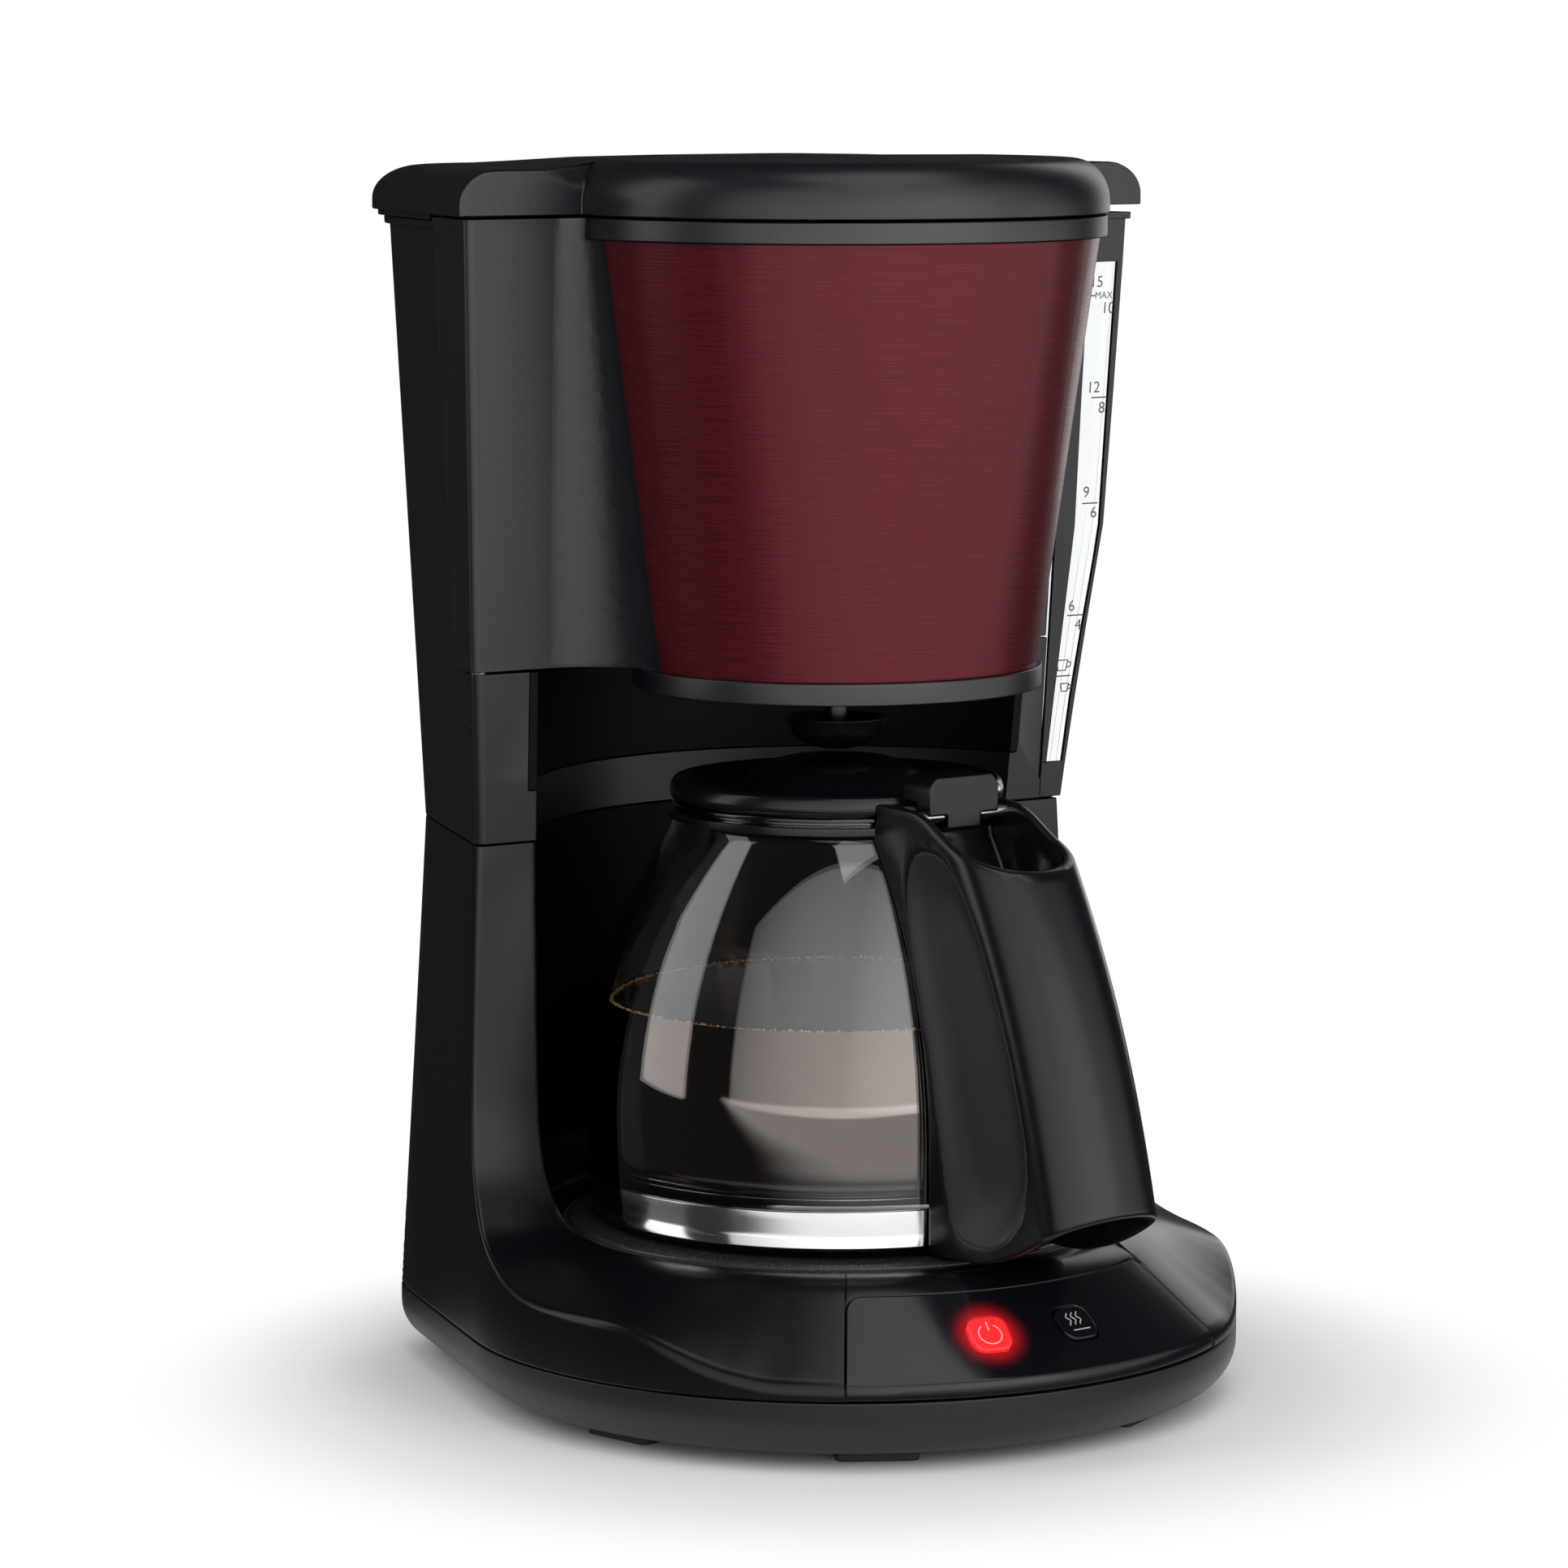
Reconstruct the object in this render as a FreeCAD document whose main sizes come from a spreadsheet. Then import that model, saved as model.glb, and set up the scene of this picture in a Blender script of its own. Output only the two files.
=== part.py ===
"""Drip coffee maker with a glass jug, a swing-out filter holder and a clear water tank.

Millimetres, +Z up, front towards -Y. Every piece is drawn about the jug's upright axis and is then
moved back by frame_y, so that the origin lies at the middle of the footprint.
"""
import FreeCAD
import Part
import math
import Sketcher
import operator
import os

Vector = FreeCAD.Vector
UP = Vector(0, 0, 1)
ACROSS = Vector(1, 0, 0)

SIZES = {
    # Frame
    "frame_y": 5.405,
    "wall": 2.5,
    "seam": 0.4,
    # Base: a round front about a centre a little before the jug axis, tapering to rounded rear corners
    "base_radius": 107.5,
    "base_arc_y": -6.0,
    "rear_corner_x": 58.5,
    "rear_corner_y": 82.0,
    "rear_radius": 30.0,
    "pan_bottom": 3.5,
    "pan_round": 11.0,
    "base_seam": 19.5,
    "deck_flat_radius": 80.0,
    "deck_top": 46.5,
    "edge_front": 23.5,
    "edge_side": 38.0,
    "ramp_angle": 46.0,
    "ramp_length": 24.0,
    "panel_half_angle": 33.4,
    "panel_inner_radius": 84.5,
    "panel_round": 4.0,
    # Tower: front corner, front face and rear corner at three heights
    "waist": 153.0,
    "tower_top": 321.5,
    "half_low": 101.0,
    "half_waist": 96.5,
    "half_top": 107.0,
    "face_low": 26.0,
    "face_waist": 30.7,
    "face_top": 15.0,
    "rear_low": 57.0,
    "rear_waist": 49.8,
    "rear_top": 59.8,
    "face_corner": 2.5,
    "tower_back": 111.4,
    # Jug niche
    "niche_radius": 83.5,
    "niche_step": 167.0,
    "niche_panel": 2.4,
    # Filter holder
    "holder_floor": 200.0,
    "band_bottom": 194.5,
    "rim_bottom": 317.0,
    "rim_top": 322.7,
    "cone_low": 54.8,
    "cone_top": 72.2,
    "panel_sheet": 0.8,
    "panel_wrap": 93.0,
    "blend_low": 22.0,
    "blend_top": 9.0,
    "holder_right": 88.5,
    "holder_back": 40.0,
    "pivot_x": -95.0,
    "pivot_y": 31.0,
    "pivot_radius": 2.5,
    "pivot_sweep": 14.0,
    # Waterway
    "valve_x": -24.0,
    "valve_y": 98.0,
    "riser_x": 24.0,
    "riser_y": 97.0,
    "riser_radius": 4.8,
    "hose_level": 18.0,
    "boiler_radius": 54.0,
    "boiler_gap": 60.0,
    "boiler_stub": 29.0,
    # Lid
    "lid_bottom": 323.4,
    "lid_rise": 14.6,
    "lid_skirt": 3.0,
    "lid_round": 12.0,
    "lid_radius": 74.0,
    "lid_half": 110.5,
    "lid_face": 12.2,
    "lid_back": 110.0,
    "lid_blend": 7.0,
    "lid_axis_y": 113.6,
    "lid_axis_z": 326.6,
    "lid_pin_radius": 2.0,
    # Warming plate
    "plate_radius": 74.5,
    "plate_top": 47.5,
    # Jug
    "jug_bottom": 47.9,
    "jug_radius": 68.6,
    "jug_belly": 75.0,
    "jug_curve": 154.0,
    "jug_shoulder": 158.0,
    "jug_neck": 44.3,
    "jug_rim": 163.2,
    "glass_wall": 2.2,
    "lid_dome": 174.6,
    "cover_hinge": 56.0,
    "cover_axis": 164.3,
    "cover_pin": 1.6,
    "handle_turn": 3.0,
    "handle_half": 18.0,
    "handle_wall": 2.6,
    # Drip stop
    "bowl_bottom": 176.9,
    "bowl_rim": 185.5,
    "bowl_radius": 14.4,
    # Buttons
    "power_angle": -10.2,
    "keep_warm_angle": 6.0,
    "button_radius": 95.8,
    "button_wide": 11.4,
    "button_deep": 11.0,
    "button_round": 3.6,
    "button_gap": 0.35,
}

OPERATORS = {"+": operator.add, "-": operator.sub, "*": operator.mul, "/": operator.truediv}

doc = FreeCAD.newDocument("drip_coffee_maker")
sheet = doc.addObject("Spreadsheet::Sheet", "Sizes")
for row, (alias, number) in enumerate(SIZES.items(), 1):
    sheet.set(f"A{row}", alias)
    sheet.set(f"B{row}", str(number))
    sheet.setAlias(f"B{row}", alias)
doc.recompute()

nodes = {}

# x, y and top of the boss that takes each screw: the front bosses end in the plate's ledge
BASE_SCREWS = ((-60.0, -50.0, 42.0), (60.0, -50.0, 42.0), (-56.0, 62.0, 45.0), (56.0, 62.0, 45.0))
SCREW_RADIUS = 1.5


class Dim:
    """A size of the sheet, or one worked out from such sizes, with the expression that binds it."""

    def __init__(self, value, text):
        self.value = float(value)
        self.text = text

    def __float__(self):
        return self.value

    def __add__(self, other):
        return combine(self, "+", other)

    def __radd__(self, other):
        return combine(other, "+", self)

    def __sub__(self, other):
        return combine(self, "-", other)

    def __rsub__(self, other):
        return combine(other, "-", self)

    def __mul__(self, other):
        return combine(self, "*", other)

    def __truediv__(self, other):
        return combine(self, "/", other)

    def __neg__(self):
        return combine(0, "-", self)


def as_dim(value):
    """Give a plain number the same shape as a size of the sheet."""
    if isinstance(value, Dim):
        return value
    return Dim(value, f"({float(value)})")


def combine(first, sign, second):
    """Join two sizes by an arithmetic sign, in value and in expression."""
    first, second = as_dim(first), as_dim(second)
    value = OPERATORS[sign](first.value, second.value)
    return Dim(value, f"({first.text} {sign} {second.text})")


class Sizes:
    """The sheet's sizes by name: size.waist is a bound size, float(size.waist) its number."""

    def __getattr__(self, alias):
        return Dim(sheet.get(alias), f"Sizes.{alias}")


size = Sizes()


def node(label, obj, turn=0.0):
    """Register an object as a sub-part and move it back to the part's own frame."""
    obj.Label = label
    if turn:
        obj.Placement.Rotation = FreeCAD.Rotation(UP, turn)
    obj.setExpression("Placement.Base.y", size.frame_y.text)
    nodes[label] = obj
    return obj


def shaped(label, shape, turn=0.0):
    """A sub-part whose solid is worked out below from the sheet's sizes."""
    obj = doc.addObject("Part::Feature", label)
    obj.Shape = shape
    return node(label, obj, turn)


def arc_between(start, end, radius):
    """A circular arc from start to end; a positive radius bulges to the right of the way travelled."""
    chord = end - start
    half = chord.Length / 2
    side = Vector(chord.y, -chord.x, 0).normalize()
    depth = math.sqrt(radius * radius - half * half)
    middle = (start + end) / 2
    sign = math.copysign(1, radius)
    crown = middle + side * sign * (abs(radius) - depth)
    if radius > 0:
        return Part.Arc(start, crown, end), 1, 2
    return Part.Arc(end, crown, start), 2, 1


def draw(sketch, corners):
    """Draw a closed outline and bind each corner to the sheet.

    A corner is (x, y), or (x, y, radius) where the stretch that leaves it is an arc.
    """
    points = [Vector(float(corner[0]), float(corner[1]), 0) for corner in corners]
    ends = []
    for index, corner in enumerate(corners):
        start = points[index]
        end = points[(index + 1) % len(points)]
        if len(corner) == 2:
            curve, first, last = Part.LineSegment(start, end), 1, 2
        else:
            curve, first, last = arc_between(start, end, float(corner[2]))
        sketch.addGeometry(curve, False)
        ends.append((first, last))
    for index, corner in enumerate(corners):
        following = (index + 1) % len(corners)
        joined = Sketcher.Constraint("Coincident", index, ends[index][1], following, ends[following][0])
        sketch.addConstraint(joined)
    for index, corner in enumerate(corners):
        across, along = as_dim(corner[0]), as_dim(corner[1])
        for kind, axis, value in (("DistanceX", -2, across), ("DistanceY", -1, along)):
            if abs(value.value) < 1e-9:
                sketch.addConstraint(Sketcher.Constraint("PointOnObject", index, ends[index][0], axis))
                continue
            place = sketch.addConstraint(
                Sketcher.Constraint(kind, -1, 1, index, ends[index][0], value.value))
            sketch.setExpression(f"Constraints[{place}]", value.text)
        if len(corner) == 3:
            radius = abs(float(corner[2]))
            place = sketch.addConstraint(Sketcher.Constraint("Radius", index, radius))
            sketch.setExpression(f"Constraints[{place}]", f"abs({as_dim(corner[2]).text})")


def sketch_on(body, corners):
    """A bound outline on the body's own upright plane."""
    sketch = body.newObject("Sketcher::SketchObject", f"{body.Name}_outline")
    plane = next(item for item in body.Origin.OriginFeatures if item.Role == "XZ_Plane")
    sketch.AttachmentSupport = [(plane, "")]
    sketch.MapMode = "FlatFace"
    draw(sketch, corners)
    return sketch


def turned(label, corners, turn=0.0):
    """A piece turned about the jug axis from an outline of (radius, height) corners."""
    body = doc.addObject("PartDesign::Body", label)
    sketch = sketch_on(body, corners)
    feature = body.newObject("PartDesign::Revolution", f"{label}_turned")
    feature.Profile = (sketch, [""])
    feature.ReferenceAxis = (sketch, ["V_Axis"])
    feature.Angle = 360
    body.Tip = feature
    return node(label, body, turn)


def rod(radius, bottom, top, x=0.0, y=0.0):
    """An upright round solid between two heights."""
    foot = Vector(float(x), float(y), float(bottom))
    return Part.makeCylinder(float(radius), float(top) - float(bottom), foot)


def pipe_ring(outer, inner, bottom, top, x=0.0, y=0.0):
    """An upright tube between two heights."""
    return rod(outer, bottom, top, x, y).cut(rod(inner, bottom, top, x, y))


def block(x_range, y_range, z_range):
    """A box between two corners given as ranges."""
    low = Vector(float(x_range[0]), float(y_range[0]), float(z_range[0]))
    high = Vector(float(x_range[1]), float(y_range[1]), float(z_range[1]))
    return Part.makeBox(high.x - low.x, high.y - low.y, high.z - low.z, low)


def cross_rod(radius, x_low, x_high, y, z):
    """A round solid lying across the machine."""
    start = Vector(float(x_low), float(y), float(z))
    return Part.makeCylinder(float(radius), float(x_high) - float(x_low), start, ACROSS)


def mirror(point):
    """The same point on the other side of the machine's middle plane."""
    return Vector(-point.x, point.y, point.z)


def mix(low, high, share):
    """A value between two, by share."""
    return low + (high - low) * share


def inset_polygon(points, inset):
    """Move each side of a convex polygon, given anticlockwise, inwards."""
    sides = []
    for start, end in zip(points, points[1:] + points[:1]):
        along = (end - start).normalize()
        sides.append((start + Vector(-along.y, along.x, 0) * inset, along))
    moved = []
    for (point, along), (other, across) in zip(sides[-1:] + sides[:-1], sides):
        gap = other - point
        share = (gap.x * across.y - gap.y * across.x) / (along.x * across.y - along.y * across.x)
        moved.append(point + along * share)
    return moved


def rounded_wire(points, radii, height):
    """A closed level wire through a polygon with its corners rounded."""
    starts, bends, finishes = [], [], []
    count = len(points)
    for index, point in enumerate(points):
        back = (points[index - 1] - point).normalize()
        ahead = (points[(index + 1) % count] - point).normalize()
        half = back.getAngle(ahead) / 2
        reach = radii[index] / math.tan(half)
        bisector = (back + ahead).normalize()
        centre = point + bisector * (radii[index] / math.sin(half))
        starts.append(point + back * reach)
        bends.append(centre - bisector * radii[index])
        finishes.append(point + ahead * reach)
    lift = Vector(0, 0, height)
    edges = []
    for index in range(count):
        edges.append(Part.Arc(starts[index] + lift, bends[index] + lift, finishes[index] + lift).toShape())
        following = (index + 1) % count
        edges.append(Part.LineSegment(finishes[index] + lift, starts[following] + lift).toShape())
    return Part.Wire(edges)


def tower_section(height, inset=0.0):
    """The tower's level outline at a height: flat front face, tapering sides, round rear corners."""
    if height <= float(size.waist):
        low, high = ("low", "waist")
        share = (height - float(size.base_seam)) / float(size.waist - size.base_seam)
    else:
        low, high = ("waist", "top")
        share = (height - float(size.waist)) / float(size.tower_top - size.waist)
    half = mix(sheet.get(f"half_{low}"), sheet.get(f"half_{high}"), share)
    face = mix(sheet.get(f"face_{low}"), sheet.get(f"face_{high}"), share)
    corner_x = mix(sheet.get(f"rear_{low}"), sheet.get(f"rear_{high}"), share)
    radius = float(size.rear_radius)
    back = float(size.tower_back)
    corner = Vector(corner_x, back - radius, 0)
    front = Vector(half, face, 0)
    away = corner - front
    lean = math.atan2(away.y, away.x) - math.asin(radius / away.Length)
    reach = (back - face) / math.tan(lean)
    rear = Vector(half + reach, back, 0)
    points = [Vector(-front.x, front.y, 0), front, rear, Vector(-rear.x, rear.y, 0)]
    small = max(float(size.face_corner) - inset, 0.4)
    large = radius - inset
    return rounded_wire(inset_polygon(points, inset), [small, small, large, large], height)


def tower(bottom, top, inset=0.0):
    """The tower's solid between two heights that lie in the same half of its hourglass."""
    bottom, top = float(bottom), float(top)
    return Part.makeLoft([tower_section(bottom, inset), tower_section(top, inset)], True, True)


def base_wire(inset, height):
    """The base's level outline: round front, straight tapering sides, round rear corners."""
    front = Vector(0, float(size.base_arc_y), height)
    rear = Vector(float(size.rear_corner_x), float(size.rear_corner_y), height)
    large = float(size.base_radius) - inset
    small = float(size.rear_radius) - inset
    along = rear - front
    lean = (large - small) / along.Length
    along.normalize()
    outward = along * lean + Vector(along.y, -along.x, 0) * math.sqrt(1 - lean * lean)
    bend = (outward + Vector(0, 1, 0)).normalize()

    side_low = front + outward * large
    side_high = rear + outward * small
    corner = rear + bend * small
    back = rear + Vector(0, small, 0)
    edges = [
        Part.Arc(mirror(side_low), front + Vector(0, -large, 0), side_low).toShape(),
        Part.LineSegment(side_low, side_high).toShape(),
        Part.Arc(side_high, corner, back).toShape(),
        Part.LineSegment(back, mirror(back)).toShape(),
        Part.Arc(mirror(back), mirror(corner), mirror(side_high)).toShape(),
        Part.LineSegment(mirror(side_high), mirror(side_low)).toShape(),
    ]
    return Part.Wire(edges)


def base_prism(inset, bottom, top):
    """The base's outline with upright sides between two heights."""
    face = Part.Face(base_wire(float(inset), float(bottom)))
    return face.extrude(Vector(0, 0, float(top) - float(bottom)))


def deck_height(across):
    """Height of the control panel's slope at a distance from the base centre."""
    flat = float(size.deck_flat_radius)
    fall = float(size.deck_top - size.edge_front) / (float(size.base_radius) - flat)
    return float(size.deck_top) - max(across - flat, 0.0) * fall


def cone_below(edge, drop, bottom):
    """The space under a cone that falls from the flat deck to an edge height at the base's rim."""
    flat = float(size.deck_flat_radius)
    run = (float(size.base_radius) - flat) / (float(size.deck_top) - float(edge))
    top = float(size.deck_top) - drop
    wide = flat + (top - bottom) * run
    return Part.makeCone(wide, flat, top - bottom, Vector(0, float(size.base_arc_y), bottom))


def above_ramp(side, drop):
    """The space in front of and above the ramp where the rim drops from the sides to the front."""
    ramp_angle = math.radians(float(size.ramp_angle) * side)
    outward = Vector(math.sin(ramp_angle), -math.cos(ramp_angle), 0)
    backward = Vector(math.cos(ramp_angle), math.sin(ramp_angle), 0) * side
    slope = float(size.edge_side - size.edge_front) / float(size.ramp_length)
    along = (backward + UP * slope).normalize()
    normal = (UP - backward * slope).normalize()
    reach = 300.0
    corner = Vector(0, float(size.base_arc_y), float(size.edge_front) - drop) - along * reach
    corners = [corner - outward * reach, corner + outward * reach]
    corners += [corners[1] + along * 2 * reach, corners[0] + along * 2 * reach]
    return Part.Face(Part.makePolygon(corners + corners[:1])).extrude(normal * reach)


def deck_form(inset, drop, bottom):
    """The base's solid form up to its top: gently sloped at the sides, steep at the front."""
    top = float(size.deck_top) - drop
    form = base_prism(inset, bottom, top).common(cone_below(size.edge_side, drop, bottom - 5.0))
    front = rod(float(size.base_radius) + 30.0, bottom - 5.0, top + 10.0, 0, size.base_arc_y)
    front = front.cut(cone_below(size.edge_front, drop, bottom - 10.0))
    front = front.common(above_ramp(-1, drop)).common(above_ramp(1, drop))
    return form.cut(front)


def inner_corners(solid, radius):
    """The upright edges of a solid of the base's front that stand on a circle about the base centre."""
    found = []
    for edge in solid.Edges:
        ends = [vertex.Point for vertex in edge.Vertexes]
        away = [math.hypot(end.x, end.y - float(size.base_arc_y)) for end in ends]
        if edge.BoundBox.DiagonalLength - edge.BoundBox.ZLength < 1e-3 and abs(max(away) - radius) < 1e-3:
            found.append(edge)
    return found


def panel_sector(inner_radius, half_angle, bottom, top, corner):
    """The base's front between two rays, outside a circle about its centre, with round inner corners."""
    centre = Vector(0, float(size.base_arc_y), float(bottom))
    height = float(top) - float(bottom)
    reach = float(size.base_radius) + 10.0
    start = 270.0 - float(half_angle)
    disc = Part.makeCylinder(reach, height, centre, UP, 2 * float(half_angle))
    disc.rotate(centre, UP, start)
    sector = disc.cut(Part.makeCylinder(float(inner_radius), height, centre))
    return sector.makeFillet(float(corner), inner_corners(sector, float(inner_radius)))


def panel_place(angle):
    """A placement on the control panel: local Z leaves its surface, local X runs to the right."""
    turn = math.radians(angle)
    radius = float(size.button_radius)
    ahead = Vector(math.sin(turn), -math.cos(turn), 0)
    step = 0.5
    fall = (deck_height(radius - step) - deck_height(radius + step)) / (2 * step)
    normal = (ahead * fall + UP).normalize()
    right = Vector(math.cos(turn), math.sin(turn), 0)
    spot = ahead * radius + Vector(0, float(size.base_arc_y), deck_height(radius))
    return FreeCAD.Placement(spot, FreeCAD.Rotation(right, normal.cross(right), normal))


def button_block(grow, low, high, angle):
    """A rounded block square to the control panel, from low to high along its normal."""
    wide = float(size.button_wide) + 2 * grow
    deep = float(size.button_deep) + 2 * grow
    solid = Part.makeBox(wide, deep, high - low, Vector(-wide / 2, -deep / 2, low))
    upright = [edge for edge in solid.Edges if abs(edge.tangentAt(0).z) > 0.9]
    solid = solid.makeFillet(float(size.button_round) + grow, upright)
    solid.Placement = panel_place(angle)
    return solid


def panel_rod(radius, low, high, angle):
    """A round solid square to the control panel, from low to high along its normal."""
    solid = Part.makeCylinder(radius, high - low, Vector(0, 0, low))
    solid.Placement = panel_place(angle)
    return solid


def make_base():
    """Base pan, feet, screws and the cord's gland."""
    seam = float(size.base_seam)
    wall = float(size.wall)
    bottom = float(size.pan_bottom)
    pan = base_prism(0, bottom, size.base_seam - size.seam)
    lower_edges = [edge for edge in pan.Edges if edge.BoundBox.ZMax < bottom + 0.01]
    pan = pan.makeFillet(float(size.pan_round), lower_edges)
    hollow = base_prism(2 * wall, bottom + wall, seam + 10)
    tongue = base_prism(wall, seam - 3.0, seam + 3.0)
    pan = pan.fuse(tongue).cut(hollow)
    places = [(math.sin(math.radians(a)) * 88.0, float(size.base_arc_y) - math.cos(math.radians(a)) * 88.0)
              for a in (-75, -28, 28, 75)] + [(-55.0, 92.0), (55.0, 92.0)]
    feet = []
    for x, y in places:
        foot = block((-11.0, 11.0), (-4.5, 4.5), (0.0, bottom))
        foot = foot.makeFillet(2.0, [edge for edge in foot.Edges if abs(edge.tangentAt(0).z) > 0.9])
        foot.rotate(Vector(0, 0, 0), UP, math.degrees(math.atan2(y - float(size.base_arc_y), x)) + 90.0)
        foot.translate(Vector(x, y, 0))
        feet.append(foot)
    screws = []
    head_top = bottom + 1.6
    for x, y, _ in BASE_SCREWS:
        pan = pan.fuse(rod(5.0, bottom + wall, seam + 2.0, x, y))
        pan = pan.cut(rod(SCREW_RADIUS + 0.1, bottom - 1.0, seam + 3.0, x, y))
        pan = pan.cut(rod(3.6, bottom - 1.0, head_top, x, y))
        shank = rod(SCREW_RADIUS, head_top, seam + 8.0, x, y)
        screws.append(rod(3.3, bottom + 0.3, head_top, x, y).fuse(shank))
    gland_x, gland_z = 30.0, 12.0
    seat, flange, bore = 5.5, 7.0, 3.5
    back = float(size.rear_corner_y + size.rear_radius)
    gland_at = Vector(gland_x, back - 6.0, gland_z)
    behind = Vector(0, 1, 0)
    slot_sides = (gland_x - seat, gland_x + seat)
    slot = block(slot_sides, (back - 6.0, back + 6.0), (gland_z, seam + 6.0))
    pan = pan.cut(slot.fuse(Part.makeCylinder(seat, 12.0, gland_at, behind)))
    gland = block(slot_sides, (back - 6.0, back), (gland_z, float(size.base_seam - size.seam)))
    gland = gland.fuse(Part.makeCylinder(seat, 6.0, gland_at, behind))
    gland = gland.fuse(Part.makeCylinder(flange, 2.0, gland_at + behind * 6.0, behind))
    gland = gland.cut(Part.makeCylinder(bore, 10.0, gland_at - behind, behind))
    shaped("base_pan", pan)
    shaped("rubber_feet", Part.makeCompound(feet))
    shaped("base_screws", Part.makeCompound(screws))
    shaped("cord_gland", gland)


def make_lower_body():
    """The deck with the column behind the jug: one thin-walled shell."""
    wall = float(size.wall)
    seam = float(size.base_seam)
    top = float(size.waist)
    deck = float(size.deck_top)
    niche = float(size.niche_radius)
    outer = deck_form(0.0, 0.0, seam)
    outer = outer.fuse(tower(seam, top).cut(rod(niche, deck, top + 1)))
    inner = deck_form(wall, wall, seam - 1.0)
    column = tower(seam, top, wall).cut(rod(niche + wall, deck - wall, top + 1))
    body = outer.cut(inner).cut(column)
    body = body.cut(rod(float(size.plate_radius) + 1.5, deck - 8, deck + 1))
    corner = float(size.panel_round) + 0.3
    body = body.cut(panel_sector(size.panel_inner_radius, size.panel_half_angle, seam - 1, deck + 4, corner))
    hole = float(size.plate_radius) + 1.5
    ledge = pipe_ring(hole + 2.0, 68.0, deck - 6.0, deck - 3.8)
    ledge = ledge.fuse(pipe_ring(hole + 2.0, hole, deck - 6.0, deck - 1.0))
    body = body.fuse(ledge)
    for x, y, boss_top in BASE_SCREWS:
        body = body.fuse(rod(4.0, seam + 2.1, boss_top, x, y))
        body = body.cut(rod(SCREW_RADIUS, seam, seam + 9.0, x, y))
    shaped("lower_body", body.removeSplitter())


def make_panel():
    """Control panel, its two buttons, springs, lamp and circuit board."""
    wall = float(size.wall)
    gap = 0.3
    inner = float(size.panel_inner_radius) + gap
    outer = float(size.base_radius)
    seam = float(size.base_seam)
    centre = Vector(0, float(size.base_arc_y), 0)

    edge = deck_height(outer)
    start = inner - 2.0
    outline = [
        (start, deck_height(start)), (outer - 0.9, edge + 0.8), (outer, edge - 0.4), (outer, seam + gap),
        (outer - wall, seam + gap), (outer - wall, deck_height(outer - wall) - wall),
        (start, deck_height(start) - wall)]
    points = [Vector(0, float(size.base_arc_y) - across, height) for across, height in outline]
    face = Part.Face(Part.makePolygon(points + points[:1]))
    half = float(size.panel_half_angle) - 0.2
    spare = half + 2.0
    face.rotate(centre, UP, -spare)
    panel = face.revolve(centre, UP, 2 * spare)
    panel = panel.common(panel_sector(inner, half, seam - 1, float(size.deck_top) + 4, size.panel_round))
    angles = {"power_button": float(size.power_angle), "keep_warm_button": float(size.keep_warm_angle)}
    middle = sum(angles.values()) / len(angles)
    board = Part.makeBox(52.0, 14.0, 1.6, Vector(-26.0, -7.0, -16.6))
    board.Placement = panel_place(middle)
    springs = []
    for label, angle in angles.items():
        panel = panel.cut(button_block(float(size.button_gap), -9.0, 6.0, angle))
        cap = button_block(0.0, -3.4, 0.6, angle).fuse(button_block(-2.0, -5.0, -3.4, angle))
        shaped(label, cap)
        spring = panel_rod(3.0, -10.5, -5.0, angle).cut(panel_rod(2.2, -11.0, -4.0, angle))
        springs.append((label, spring))
        holder = panel_rod(5.0, -15.5, -8.4, angle).cut(panel_rod(3.5, -13.5, -8.0, angle))
        board = board.fuse(holder)
    for label, spring in springs:
        shaped(label.replace("button", "spring"), spring)
    shaped("control_panel", panel)
    shaped("circuit_board", board.removeSplitter())
    lamp = panel_rod(1.5, -15.0, -6.4, middle).fuse(panel_rod(2.0, -15.0, -13.0, middle))
    shaped("power_lamp", lamp)


def boiler_level():
    """Height of the boiler tube's own axis under the warming plate."""
    return float(size.plate_top) - 6.4


def boiler_ends():
    """The two ends of the boiler tube's open ring: cold on the left, hot on the right."""
    ends = []
    for side in (1, -1):
        angle = math.radians(90.0 + side * float(size.boiler_gap) / 2)
        reach = float(size.boiler_radius)
        ends.append(Vector(math.cos(angle) * reach, math.sin(angle) * reach, boiler_level()))
    return ends


def open_ring(radius, thick, level):
    """A level round bar bent to a ring that is open at the back."""
    gap = float(size.boiler_gap)
    ring = Part.makeTorus(float(radius), thick, Vector(0, 0, level), UP, 0, 360, 360.0 - gap)
    ring.rotate(Vector(0, 0, 0), UP, 90.0 + gap / 2)
    return ring.fuse(ring.copy())


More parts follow.
